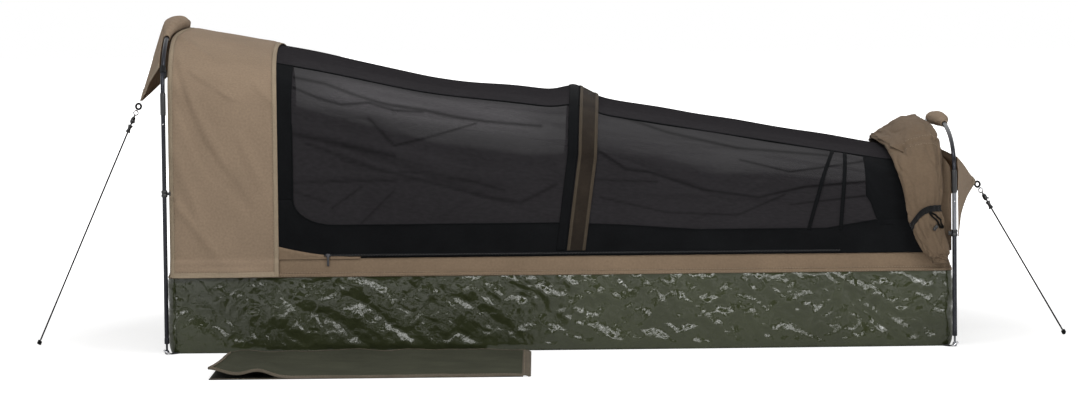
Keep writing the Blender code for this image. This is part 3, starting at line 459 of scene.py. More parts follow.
def weaveHeight(tree, coords, pitch, slub):
    # Threads over and under each other, with uneven thickness.
    scale = pi / (10.0 * pitch)
    return addMath(tree, "MAXIMUM", addWave(tree, coords, scale, slub, "X"),
                   addWave(tree, coords, scale, slub, "Y"))


def makeClothMaterial(name, color, pitch, spread=0.10, roughness=0.88, sheen=0.04, depth=0.0004, bump=0.5,
                      coordinates="UV", specular=0.12):
    material, tree, shader, coords = startMaterial(name, color, roughness, 0.0, coordinates,
                                                   Sheen_Weight=sheen, Sheen_Roughness=0.5,
                                                   Specular_IOR_Level=specular)
    tint = mottle(tree, shader, coords, color, 7.0, spread)
    shade = addRange(tree, addNoise(tree, coords, 160.0, 3.0), 0.25, 0.75, 0.88, 1.08)
    toned = addNode(tree, "ShaderNodeVectorMath", {0: tint, 3: shade}, operation="SCALE")
    tree.links.new(toned.outputs[0], shader.inputs["Base Color"])
    creased = addNoise(tree, coords, 26.0, 5.0, 0.6)
    addBump(tree, shader, addMath(tree, "ADD", weaveHeight(tree, coords, pitch, 0.6), creased), bump, depth)
    return material


netSettings = {
    "pitch": 0.0013, "side": 0.86, "roof": 0.975, "folds": 0.04, "roofFolds": 0.02,
    "glare": (0.12, 0.112, 0.120, 1.0), "creaseShadeColor": (0.001, 0.001, 0.001, 1.0), "shadow": 0.24,
    "sideWidth": 0.43, "roofWidth": 0.66, "maxFold": 0.0022,
    "flutter": 0.0035, "closedLow": 0.12, "closedDrop": 0.14, "closedSpan": 0.12, "creaseClosed": 0.06,
    "creaseLevel": 0.66, "creaseThin": 0.75, "sheen": 0.19, "sheenRise": 0.025, "sheenBand": 0.30,
}


def makeNetMaterial(name, color, opacity, folds):
    material, tree, shader, coords = startMaterial(name, color, 0.90, 0.0, "UV", Specular_IOR_Level=0.0)
    tint = mottle(tree, shader, coords, color, 5.0, 0.25)
    glare, shade, closed = (addNode(tree, "ShaderNodeAttribute", attribute_name=key).outputs["Fac"]
                            for key in ("glare", "shade", "closed"))
    # Painted sheen: the glare attribute lightens the colour towards the glare colour, broken up by fine noise
    fine = addNoise(tree, addMapping(tree, coords, (60.0, 110.0, 1.0)), 1.0, 3.0)
    shimmer = addMath(tree, "MULTIPLY", addRange(tree, fine, 0.35, 0.70, 0.74, 1.0), glare)
    toned = addMix(tree, shimmer, tint, netSettings["glare"])
    # Painted shade: the shade attribute darkens the near side's creases towards the crease shade colour
    tree.links.new(addMix(tree, shade, toned, netSettings["creaseShadeColor"]), shader.inputs["Base Color"])
    crease = addNoise(tree, addMapping(tree, coords, (1.6, 8.0, 1.0), radians(-12)), 1.6, 4.0, 1.2)
    threads = weaveHeight(tree, coords, netSettings["pitch"], 0.0)
    mesh = addRange(tree, threads, 0.2, 0.9, opacity - 0.04, opacity + 0.03)
    total = addMath(tree, "ADD", mesh, addRange(tree, crease, 0.50, 0.62, 0.0, folds))
    tree.links.new(addMath(tree, "ADD", total, closed, use_clamp=True), shader.inputs["Alpha"])
    addBump(tree, shader, crease, 0.5, 0.004)
    return material


def makePvcMaterial():
    color = (0.036, 0.042, 0.018)
    material, tree, shader, coords = startMaterial("pvcGreen", color, 0.14, IOR=1.50)
    mottle(tree, shader, coords, color, 3.0, 0.22)
    gloss = addRange(tree, addNoise(tree, coords, 14.0, 4.0), 0.3, 0.7, 0.08, 0.20)
    tree.links.new(gloss, shader.inputs["Roughness"])
    bent = addNoise(tree, coords, 24.0, 2.0, 0.5, noise_type="RIDGED_MULTIFRACTAL")
    height = addMath(tree, "MULTIPLY_ADD", bent, 2.0, addNoise(tree, coords, 46.0, 3.0, 0.6))
    addBump(tree, shader, height, 0.60, 0.0040)
    return material


def makeMetalMaterial(name, color, roughness, scratches=0.35):
    material, tree, shader, coords = startMaterial(name, color, roughness, 1.0)
    streaks = addNoise(tree, addMapping(tree, coords, (900.0, 900.0, 12.0)), 1.0, 3.0)
    rough = addRange(tree, streaks, 0.3, 0.7, roughness * (1.0 - scratches), roughness * (1.0 + scratches))
    tree.links.new(rough, shader.inputs["Roughness"])
    mottle(tree, shader, coords, color, 30.0, 0.18)
    addBump(tree, shader, streaks, 0.15, 0.0002)
    return material


def makePlasticMaterial():
    color = (0.010, 0.010, 0.011)
    material, tree, shader, coords = startMaterial("blackPlastic", color, 0.38)
    mottle(tree, shader, coords, color, 60.0, 0.3)
    addBump(tree, shader, addNoise(tree, coords, 1600.0, 2.0), 0.25, 0.0002)
    return material


def makeRopeMaterial():
    material, tree, shader, coords = startMaterial("blackRope", (0.006, 0.006, 0.006), 0.8,
                                                   Specular_IOR_Level=0.10)
    laid = addMath(tree, "MULTIPLY", *(addWave(tree, coords, 150.0, 1.0, way) for way in ("DIAGONAL", "Z")))
    addBump(tree, shader, laid, 0.8, 0.0008)
    # Colour follows the strands' lay: painted shade in the grooves, lighter on the crests
    strandShade = addMix(tree, laid, (0.003, 0.003, 0.003, 1.0), (0.012, 0.012, 0.012, 1.0))
    tree.links.new(strandShade, shader.inputs["Base Color"])
    return material


finishes = {
    "canvas": makeClothMaterial("tanCanvas", (0.294, 0.217, 0.151), 0.0011, 0.07),
    "bandCanvas": makeClothMaterial("bandCanvas", (0.218, 0.156, 0.103), 0.0011, 0.09),
    # A darker copy of the tan canvas: painted shade on the rolled cover and on the foot panels behind it
    "rollCanvasShaded": makeClothMaterial("rollCanvasShaded", (0.172, 0.122, 0.080), 0.0011, 0.09),
    # Lighter tan canvas for hems and the flap's tip patch: the lighter tone is a painted highlight along the
    # edges
    "canvasEdgeHighlight": makeClothMaterial("tanCanvasEdgeHighlight", (0.330, 0.262, 0.185), 0.0011, 0.08),
    "thread": makeClothMaterial("tanThread", (0.36, 0.29, 0.21), 0.0009, 0.1, coordinates="Object"),
    "border": makeClothMaterial("blackCloth", (0.0075, 0.0080, 0.0088), 0.0009, 0.25, 0.85, 0.0,
                                specular=0.04),
    "strip": makeClothMaterial("brownPile", (0.036, 0.026, 0.018), 0.0016, 0.55, 0.95, 0.05, 0.0012, 1.0),
    "stripEdge": makeClothMaterial("brownEdge", (0.064, 0.050, 0.035), 0.0010, 0.25),
    "stripThread": makeClothMaterial("brownThread", (0.110, 0.088, 0.062), 0.0009, 0.1, coordinates="Object"),
    "webbing": makeClothMaterial("blackWebbing", (0.0075, 0.0075, 0.008), 0.0018, 0.3, 0.7, 0.1, 0.0008, 0.9,
                                 "Object"),
    "mattress": makeClothMaterial("mattressCover", (0.060, 0.058, 0.050), 0.0014, 0.15),
    "mat": makeClothMaterial("matCanvas", (0.062, 0.064, 0.045), 0.0014, 0.16, 0.9, 0.0, 0.0006, 0.7,
                             specular=0.06),
    # A darker copy of the mat's green canvas for its lower layer: painted shade inside the mouth
    "matUnderShade": makeClothMaterial("matUnderShade", (0.030, 0.030, 0.022), 0.0014, 0.2),
    "tape": makeClothMaterial("tanTape", (0.140, 0.118, 0.088), 0.0016, 0.22, 0.9, 0.02, 0.0008, 0.8),
    "net": makeNetMaterial("sideNet", (0.0098, 0.0093, 0.0102), netSettings["side"], netSettings["folds"]),
    "roofNet": makeNetMaterial("roofNet", (0.0105, 0.0096, 0.0108), netSettings["roof"],
                               netSettings["roofFolds"]),
    "pvc": makePvcMaterial(), "poleDark": makeMetalMaterial("darkPole", (0.030, 0.031, 0.036), 0.32),
    "poleGrey": makeMetalMaterial("greyPole", (0.16, 0.165, 0.18), 0.30),
    "steel": makeMetalMaterial("platedSteel", (0.62, 0.62, 0.64), 0.22),
    "zipMetal": makeMetalMaterial("zipMetal", (0.06, 0.06, 0.065), 0.35),
    "plastic": makePlasticMaterial(), "rope": makeRopeMaterial(),
}
makeCamera()
makeLights()
makeStage()
bpy.context.scene.view_settings.view_transform = "Standard"
print("camera, light, stage and", len(finishes), "finishes made")


# Guy ropes, each from its hook to the knot on the ground

guySettings = {
    "radius": 0.00225, "points": 32, "clear": 0.0003, "hookReach": 0.0085, "knotRadius": 0.007,
    "tensionerAt": 0.040, "loopRadius": 0.0078, "loopWire": 0.0030, "stopAt": 0.0135, "turns": 5,
    "turnSteps": 14, "coilRadius": 0.0043, "coilHalf": 0.0048, "coilWire": 0.0021, "hookRadius": 0.0066,
    "hookWire": 0.0019, "toggleWire": 0.0018,
    "tensioner": [  # the waisted slider, as (radius, height)
        (0.0068, 0.0110), (0.0070, 0.0095), (0.0050, 0.0035), (0.0046, 0.0), (0.0050, -0.0035),
        (0.0070, -0.0095), (0.0068, -0.0110), (0.0031, -0.0108), (0.0031, 0.0108)],
    "stop": [(0.0, 0.0100), (0.0040, 0.0098), (0.0062, 0.0070), (0.0066, 0.0), (0.0058, -0.0060),
             (0.0036, -0.0096), (0.0, -0.0100)],
}


def makeGuy(end):
    settings, name = guySettings, endNames[end]
    guy, plastic = name + "_guy", finishes["plastic"]
    hook, knot = middleOf(guy + "_hook"), middleOf(guy + "_knot")
    along = (knot - hook).normalized()
    turned, facingEye = facing(along), facing(Vector((0, 0, 1)).cross(along))
    start = hook + along * (settings["hookReach"] + settings["clear"])
    finish = knot - along * (settings["knotRadius"] + settings["clear"])
    count = settings["points"]
    route = [start.lerp(finish, index / (count - 1)) for index in range(count)]
    rope = makeTube(name + "GuyRope", route, settings["radius"], finishes["rope"])
    settle(rope, guy, [guy + "_rope"])
    # The knot, wound round with a few turns
    steps = settings["turns"] * settings["turnSteps"]
    coil = []
    for index in range(steps + 1):
        angle = 2 * pi * index / settings["turnSteps"]
        height = mix(-settings["coilHalf"], settings["coilHalf"], index / steps)
        bend = Vector((settings["coilRadius"] * cos(angle), settings["coilRadius"] * sin(angle), height))
        coil.append(Matrix.Translation(knot) @ turned @ bend)
    knotPiece = makeTube(name + "GuyKnot", coil, settings["coilWire"], finishes["rope"], 2)
    settle(knotPiece, guy, [guy + "_knot"])
    middle = start + along * settings["tensionerAt"]
    tensioner = makeTurned(name + "Tensioner", settings["tensioner"], Matrix.Translation(middle) @ turned,
                           plastic, closed=True)
    settle(tensioner, name + "_tensioner", [guy + "_tensioner"])
    settle(makeRing(name + "GuyHook", settings["hookRadius"], settings["hookWire"],
                    Matrix.Translation(hook) @ facingEye, finishes["steel"]), guy, [guy + "_hook"])
    stopMiddle = start + along * settings["stopAt"]
    stop = makeTurned(name + "RopeStop", settings["stop"], Matrix.Translation(stopMiddle) @ turned, plastic)
    settle(stop, guy)
    trail = [stopMiddle + turned.to_3x3() @ Vector((0.006 + 0.005 * step, 0, 0.002 * step))
             for step in range(4)]
    toggle = settle(makeTube(name + "Toggle", trail, settings["toggleWire"], plastic, 3), guy)
    settle(makeRing(name + "FlapLoop", settings["loopRadius"], settings["loopWire"],
                    Matrix.Translation(middleOf(name + "_flap_loop")) @ facingEye, finishes["webbing"]),
           name + "_hoop", [name + "_flap_loop"])


for end in (head, foot):
    makeGuy(end)
print("guy ropes made")


# The canopy's surface: a wall from the rim to the shoulder, and an arch from shoulder to shoulder

tubHigh = corners("pvc_tub")[1]
bandLow, bandHigh = corners("canvas_band")
netLow, netHigh = corners("net_canopy")
canvasLow, canvasHigh = corners("head_canvas")
canopy = {
    "length": 2.094, "half": netHigh.y, "floor": bandHigh.z + 0.0003, "ridgeHead": 0.872, "ridgeFoot": 0.504,
    "riseHead": 0.180, "riseFoot": 0.120, "power": 2.5, "shoulder": 0.62, "seam": 0.31, "hemDrop": 0.0485,
    "hemFlare": 0.012, "sag": (-0.020, -0.360, 0.220), "peak": (0.022, 0.050, 0.050),
    "lift": (0.055, 1.050, 0.080), "borderOut": 0.0012, "stripOut": 0.0034, "canvasOut": 0.0036,
}


def canopyShare(x):
    return (x + canopy["length"] / 2) / canopy["length"]


def canopyShoulder(x):
    share = canopyShare(x)
    return mix(canopy["ridgeHead"] - canopy["riseHead"], canopy["ridgeFoot"] - canopy["riseFoot"], share)


def canopyRidge(x):
    ridge = mix(canopy["ridgeHead"], canopy["ridgeFoot"], canopyShare(x))
    return ridge + sum(swell(x, *canopy[name]) for name in ("sag", "peak", "lift"))


def arch(half, shoulder, rise, power, share):
    # A point (y, z) of a wall and its arch and the normal there. Share is 0 at the ridge, 1 at the shoulder.
    side = far if share > 0 else near
    angle = (1.0 - min(abs(share), 1.0)) * pi / 2
    across = max(cos(angle), 0.0) ** (2.0 / power)
    upward = sin(angle) ** (2.0 / power)
    normal = Vector((across ** (power - 1.0) / half, upward ** (power - 1.0) / rise)).normalized()
    return side * across * half, shoulder + upward * rise, side * normal.x, normal.y


def canopyPoint(x, girth, out=0.0):
    shoulder = canopyShoulder(x)
    reach = abs(girth)
    if reach < canopy["shoulder"]:
        y, z, outY, outZ = arch(canopy["half"], shoulder, canopyRidge(x) - shoulder, canopy["power"],
                                girth / canopy["shoulder"])
        return Vector((x, y + out * outY, z + out * outZ))
    side = copysign(1.0, girth)
    y = canopy["half"] + out + max(reach - 1.0, 0.0) * canopy["hemFlare"]
    z = mix(shoulder, canopy["floor"], (min(reach, 1.0) - canopy["shoulder"]) / (1.0 - canopy["shoulder"]))
    return Vector((x, side * y, z - max(reach - 1.0, 0.0) * canopy["hemDrop"]))


def girthAt(x, z):
    shoulder = canopyShoulder(x)
    if z <= shoulder:
        return mix(canopy["shoulder"], 1.0, (shoulder - z) / (shoulder - canopy["floor"]))
    upward = (z - shoulder) / (canopyRidge(x) - shoulder)
    return canopy["shoulder"] * (1.0 - asin(min(upward, 1.0) ** (canopy["power"] / 2.0)) / (pi / 2))


def flutter(x, girth, size, scale, seed):
    # Soft waves of cloth.
    return size * waver(x * scale, girth * scale * 0.6, seed)


# Tub: a wall of crinkled PVC that goes up the outside, over its rim and down the inside

tubSettings = {
    "step": 0.0046, "bow": 0.012, "corner": 0.020, "wall": 0.006, "floor": 0.003, "tuck": 0.007,
    "tuckHeight": 0.022, "rows": 44, "innerRows": 5, "fullness": 0.013, "bulge": 0.006,
    "foldSize": 0.0080, "foldCell": 0.150, "crumpleSize": 0.0080, "crumpleScale": 12.5, "crinkleSize": 0.0044,
    "crinkleScale": 33.0,
}


def outlinePoint(distance, halfLength, halfWidth, bow, corner):
    # A point of a round-cornered rectangle with bowed long sides, and its outward normal, at a distance.
    straightX, straightY = 2 * (halfLength - corner), 2 * (halfWidth - corner)
    turn = pi / 2 * corner
    loop = 2 * (straightX + straightY) + 4 * turn
    distance %= loop
    sides = ((Vector((1, 0)), Vector((0, -1)), straightX), (Vector((0, 1)), Vector((1, 0)), straightY),
             (Vector((-1, 0)), Vector((0, 1)), straightX), (Vector((0, -1)), Vector((-1, 0)), straightY))
    for along, out, straight in sides:
        half = halfWidth if along.x else halfLength
        if distance <= straight:
            point = out * half + along * (distance - straight / 2)
            normal = out
            break
        distance -= straight
        if distance <= turn:
            angle = distance / corner
            centre = out * (half - corner) + along * straight / 2
            normal = out * cos(angle) + along * sin(angle)
            point = centre + normal * corner
            break
        distance -= turn
    share = clamp(1.0 - (point.x / halfLength) ** 2)
    point = Vector((point.x, point.y + copysign(bow * share, point.y) * min(1.0, abs(normal.y) * 2)))
    return point, normal


def outlineLength(halfLength, halfWidth, corner):
    return 4 * (halfLength - corner) + 4 * (halfWidth - corner) + 2 * pi * corner


def cellHeight(place, seed):
    # Faceted creases: pyramids between cells, with sharp valleys where two cells meet.
    distances = noise.voronoi(Vector((place[0], place[1], seed)))[0]
    return min(distances[1] - distances[0], 0.8)


def ridged(across, up, seed):
    # Sharp curly ridges, about 0 to 1.
    return min(noise.ridged_multi_fractal(Vector((across, up, seed)), 1.0, 2.0, 2, 1.0, 2.0) * 0.5, 1.1)


def crinkle(distance, z):
    # Long slanting folds to the head end, and finer crumpling all over, denser to the foot end.
    settings = tubSettings
    warpX = 0.035 * waver(distance * 7.0, z * 9.0, 3.1)
    warpZ = 0.030 * waver(distance * 8.0, z * 9.0, 7.7)
    x, up = distance + warpX, z + warpZ
    slant = (x * 0.80 + up * 1.05, up * 0.28 - x * 0.16)
    long = cellHeight((slant[0] / settings["foldCell"] * 1.35, slant[1] / settings["foldCell"]), 1.5)
    middle = ridged(x * settings["crumpleScale"], up * settings["crumpleScale"] * 0.9, 4.5)
    small = ridged((x + up * 0.5) * settings["crinkleScale"], up * settings["crinkleScale"] * 0.8, 8.5)
    toFoot = smooth((distance - 0.55) / 0.9) if distance < 2.2 else 0.7
    patch = 0.55 + 0.9 * waver(distance * 5.0, z * 6.0, 12.3)
    return (settings["foldSize"] * (long - 0.35) * (1.0 - 0.35 * toFoot)
            + settings["crumpleSize"] * (middle - 0.3) * (0.60 + 0.85 * toFoot)
            + settings["crinkleSize"] * (small - 0.3) * clamp(patch + 0.7 * toFoot, 0.15, 1.5))


def makeTub():
    settings = tubSettings
    halfLength, halfWidth = tubHigh.x + settings["fullness"], tubHigh.y - settings["bow"]
    height = tubHigh.z
    loop = outlineLength(halfLength, halfWidth, settings["corner"])
    columns = round(loop / settings["step"])
    rows, inner = settings["rows"], settings["innerRows"]

    def section(share):
        # Height and depth behind the outer face, up the outside, over the rim and down the inside.
        row = share * (rows + inner + 2)
        if row <= rows:
            return height * row / rows, 0.0, True
        if row <= rows + 2:
            return height - 0.0004, settings["wall"] * (row - rows) / 2, False
        return mix(height, settings["floor"], (row - rows - 2) / inner), settings["wall"], False

    def surface(across, along):
        distance = across * loop
        z, depth, outer = section(along)
        point, normal = outlinePoint(distance, halfLength, halfWidth, settings["bow"], settings["corner"])
        if outer:
            tuck = clamp(1.0 - z / settings["tuckHeight"])
            depth = settings["tuck"] * tuck * tuck
            fade = smooth(z / 0.030) * mix(0.45, 1.0, smooth((height - z) / 0.020))
            depth = max(depth - crinkle(distance, z) * fade, -settings["bulge"])
        point = point - normal * depth
        return Vector((point.x, point.y, z))

    bm = gridMesh((columns, rows + inner + 2), surface, weld=weldDistance["cloth"])
    rims = [edge for edge in bm.edges if edge.is_boundary]
    for low, high in ((-0.001, 0.001), (settings["floor"] - 0.001, settings["floor"] + 0.001)):
        rim = [edge for edge in rims if all(low < vert.co.z < high for vert in edge.verts)]
        bmesh.ops.edgeloop_fill(bm, edges=rim)
    bmesh.ops.recalc_face_normals(bm, faces=bm.faces)
    settle(makeObject("tubSkin", bm, finishes["pvc"], 60), "root", ["pvc_tub"])


makeTub()
print("tub made")


# Canvas band round the rim, with its two stitched rows

bandSettings = {"rows": 10, "wall": 0.0018, "hem": 0.010, "pucker": 0.0007, "drift": 0.0012, "bulge": 0.0016,
                "columnWidth": 0.009, "gussetFoot": -0.540, "gussetRise": 0.036}


def bandPoint(distance, share, out=0.0):
    # Share is 0 at the tub's rim and 1 at the canopy.
    settings = tubSettings
    low, normal = outlinePoint(distance, tubHigh.x + settings["fullness"],
                               tubHigh.y - settings["bow"], settings["bow"], settings["corner"])
    ratio = outlineLength(canopy["length"] / 2, canopy["half"], settings["corner"]) / bandLoop
    high, _ = outlinePoint(distance * ratio, canopy["length"] / 2, canopy["half"], 0.0, settings["corner"])
    point = low.lerp(high, share)
    pucker = bandSettings["pucker"] * waver(distance * 60.0, share * 2.0, 2.0)
    pucker += bandSettings["drift"] * waver(distance * 9.0, share * 1.5, 6.0)
    point += normal * (out + pucker * (1.0 - share) + bandSettings["bulge"] * sin(pi * share))
    return Vector((point.x, point.y, mix(bandLow.z, bandHigh.z, share)))


bandLoop = outlineLength(tubHigh.x + tubSettings["fullness"], tubHigh.y - tubSettings["bow"],
                         tubSettings["corner"])


def makeBand():
    loop = bandLoop
    height = bandHigh.z - bandLow.z
    columns = round(loop / bandSettings["columnWidth"])
    band = makeCloth("canvasBand", (columns, bandSettings["rows"]), lambda u, v: bandPoint(u * loop, v),
                     (loop, height), finishes["bandCanvas"], bandSettings["wall"], -1.0)
    settle(band, "root", ["canvas_band"])
    fold = bandSettings["hem"]
    hem = makeCloth("bandHem", (columns, 3),
                    lambda u, v: bandPoint(u * loop, v * fold / height, 0.0008 + 0.0009 * sin(pi * v)),
                    (loop, fold), finishes["bandCanvas"], 0.0012, -1.0)
    settle(hem, "root")
    rows = [(lambda s, up=up: bandPoint(s * loop, up / height, 0.0016), loop,
             lambda point: Vector((point.x * 0.1, point.y, 0)).normalized()) for up in (0.003, fold + 0.002)]
    settle(makeStitches("bandStitches", rows, finishes["thread"]), "root")


makeBand()
print("band made")


# Net canopy: see-through sides, a closer roof, and black borders round each window

netEdges = {"head": netLow.x, "foot": netHigh.x, "windowHead": -0.722, "windowFoot": 0.830,
            "cornerHigh": 0.415, "sill": 0.345, "sillLow": 0.323, "farHead": -0.768, "farFoot": 0.905}
netFolds = [  # across, height, across, height, width, size: the long creases seen through the near side
    (-0.74, 0.760, -0.10, 0.600, 0.010, 0.0035), (-0.74, 0.700, -0.20, 0.610, 0.007, -0.0030),
    (-0.74, 0.620, -0.05, 0.430, 0.012, 0.0040), (-0.60, 0.560, -0.05, 0.360, 0.010, -0.0030),
    (-0.70, 0.480, 0.00, 0.470, 0.010, 0.0025), (0.12, 0.600, 0.60, 0.470, 0.010, 0.0030),
    (0.12, 0.540, 0.50, 0.380, 0.008, -0.0028), (0.20, 0.430, 0.70, 0.400, 0.008, 0.0026),
    (-0.35, 0.350, -0.10, 0.520, 0.008, 0.0020), (0.35, 0.350, 0.62, 0.480, 0.008, 0.0022),
]
netLines = [  # chains of thin creases in the near side, drawn as denser net and painted shade: width, then places
    (0.006, [(-0.716, 0.745), (-0.632, 0.727), (-0.545, 0.694), (-0.466, 0.670), (-0.366, 0.654),
             (-0.278, 0.634), (-0.201, 0.622), (-0.048, 0.607)]),
    (0.005, [(-0.719, 0.719), (-0.646, 0.688), (-0.587, 0.671), (-0.514, 0.676), (-0.444, 0.654),
             (-0.366, 0.650)]),
    (0.004, [(-0.515, 0.636), (-0.445, 0.559), (-0.356, 0.580), (-0.223, 0.617)]),
    (0.007, [(-0.720, 0.594), (-0.589, 0.563), (-0.446, 0.532)]),
    (0.006, [(-0.682, 0.567), (-0.589, 0.533), (-0.479, 0.493), (-0.368, 0.464), (-0.204, 0.418),
             (-0.104, 0.401), (-0.010, 0.449)]),
    (0.005, [(-0.589, 0.523), (-0.468, 0.487), (-0.357, 0.486), (-0.225, 0.457), (-0.148, 0.434)]),
    (0.004, [(-0.722, 0.462), (-0.447, 0.465)]), (0.004, [(-0.723, 0.440), (-0.623, 0.406)]),
    (0.004, [(-0.618, 0.390), (-0.534, 0.449)]), (0.004, [(-0.536, 0.349), (-0.447, 0.437)]),
    (0.005, [(0.099, 0.545), (0.181, 0.489), (0.243, 0.481), (0.389, 0.431), (0.540, 0.409), (0.664, 0.436),
             (0.829, 0.448)]),
    (0.004, [(0.078, 0.462), (0.264, 0.454)]),
    (0.004, [(0.113, 0.413), (0.291, 0.370), (0.484, 0.362), (0.609, 0.415)]),
    (0.005, [(0.120, 0.645), (0.292, 0.586), (0.486, 0.541), (0.732, 0.517)]),
    (0.004, [(0.489, 0.511), (0.624, 0.477), (0.830, 0.500)]),
    (0.004, [(0.624, 0.388), (0.829, 0.410)]),
]
# Below this line the near side is closer, and the far side shows darker
farLine = [(-0.80, 0.640), (-0.36, 0.520), (-0.08, 0.480), (0.12, 0.490), (0.28, 0.465), (0.46, 0.420),
           (0.62, 0.420), (0.80, 0.400), (1.05, 0.380)]


def aboveFarLine(point):
    return point.z - lineHeight(farLine, point.x)


def netPoint(x, girth):
    fold = ridges(netFolds, x, canopyPoint(x, girth).z) if abs(girth) > 0.15 else 0.0
    fold += flutter(x, girth, netSettings["flutter"], 6.0, 1.0 if girth < 0 else 5.0)
    ease = smooth((x - netEdges["head"]) * 12) * smooth((netEdges["foot"] - x) * 12)
    ease *= smooth((1.0 - abs(girth)) * 6.0)
    return canopyPoint(x, girth, min(fold, netSettings["maxFold"]) * ease)


def paintPoints(obj, name, level):
    attribute = obj.data.attributes.new(name, "FLOAT", "POINT")
    attribute.data.foreach_set("value", [level(vert.co) for vert in obj.data.vertices])


def netGlare(point):
    # Painted sheen: a pale sheen painted into the near side's colour, and more of it under the first window's
    # roof seam.
    if point.y > 0:
        return 0.0
    drop = (canopyPoint(point.x, -canopy["seam"]).z - point.z) / 0.085
    band = smooth((point.x + 0.74) * 5) * smooth((0.02 - point.x) * 5)
    band *= smooth(drop * 6) * smooth((1.2 - drop) * 1.6)
    rise = netSettings["sheenRise"] * smooth(aboveFarLine(point) / 0.16)
    return netSettings["sheen"] + rise + netSettings["sheenBand"] * band


def farClosed(point):
    # The share of light that a point stops, on top of its own.
    return netSettings["shadow"] * smooth(0.5 - aboveFarLine(point) / 0.03)


def nearClosed(point):
    settings = netSettings
    above = smooth(aboveFarLine(point) / settings["closedSpan"])
    shade = settings["creaseClosed"] * creaseShade(point)
    return settings["closedLow"] - settings["closedDrop"] * above + shade


def creaseShade(point):
    # How much painted shade darkens a thin crease of the near side at a point.
    level = 0.0
    for width, chain in netLines:
        for (startX, startZ), (endX, endZ) in zip(chain, chain[1:]):
            if min(startX, endX) - 0.02 < point.x < max(startX, endX) + 0.02:
                alongX, alongZ = endX - startX, endZ - startZ
                span = alongX * alongX + alongZ * alongZ
                share = clamp(((point.x - startX) * alongX + (point.z - startZ) * alongZ) / span)
                gap = hypot(point.x - startX - share * alongX, point.z - startZ - share * alongZ)
                level = max(level, exp(-(gap / (netSettings["creaseThin"] * width)) ** 2))
    return netSettings["creaseLevel"] * level * mix(0.5, 1.0, smooth(aboveFarLine(point) / 0.08 + 0.5))


def makeNet():
    ends, seam = (netEdges["head"], netEdges["foot"]), canopy["seam"]
    length = ends[1] - ends[0]
    sides = (  # name, girths, cells, finish, painted share, flat width
        ("netNear", (-1.0, -seam), (320, 110), "net", nearClosed, netSettings["sideWidth"]),
        ("netRoof", (-seam, seam), (190, 60), "roofNet", lambda point: 0.0, netSettings["roofWidth"]),
        ("netFar", (seam, 1.0), (190, 60), "net", farClosed, netSettings["sideWidth"]))
    for name, girths, cells, finish, closed, width in sides:
        part = makeCloth(name, cells, lambda u, v: netPoint(mix(*ends, u), mix(*girths, v)),
                         (length, (girths[1] - girths[0]) * 0.95), finishes[finish], 0.0)
        paintPoints(part, "closed", closed)
        paintPoints(part, "glare", netGlare)
        if name == "netNear":
            paintPoints(part, "shade", creaseShade)
        settle(part, "root", ["net_canopy"], keep=flatShare)


def windowEnds(side):
    # The far window is a little longer, so that its frame hides behind the near one.
    if side == far:
        return netEdges["farHead"], netEdges["farFoot"]
    return netEdges["windowHead"], netEdges["windowFoot"]


def windowEdge(side):
    # The window's lower edge from head to foot, as (place, height).
    left, right = windowEnds(side)
    high, sill, low = netEdges["cornerHigh"], netEdges["sill"], netEdges["sillLow"]
    drop = high - sill
    corner = [(left + drop * 1.6 * (1 - cos(angle)), high - drop * sin(angle))
              for angle in (pi / 2 * step / 8 for step in range(9))]
    middle = [(mix(left, right, 0.47), sill), (mix(left, right, 0.58), sill - 0.008),
              (mix(left, right, 0.71), low), (mix(left, right, 0.93), low), (right + 0.4 * drop, sill)]
    return corner + middle


borderSettings = {"sillCells": (200, 26), "columnCells": (16, 60), "thick": 0.0008, "sillFlat": 0.09,
                  "gap": 0.0005, "cornerGap": 0.004, "footCorner": 0.335, "gussetOut": 0.0020,
                  "gussetOverlap": 0.0035, "gussetLow": 1.05, "roofSeam": 0.0022, "windowSeam": 0.0016,
                  "seamSteps": 120, "headSeam": (0.62, 0.50)}


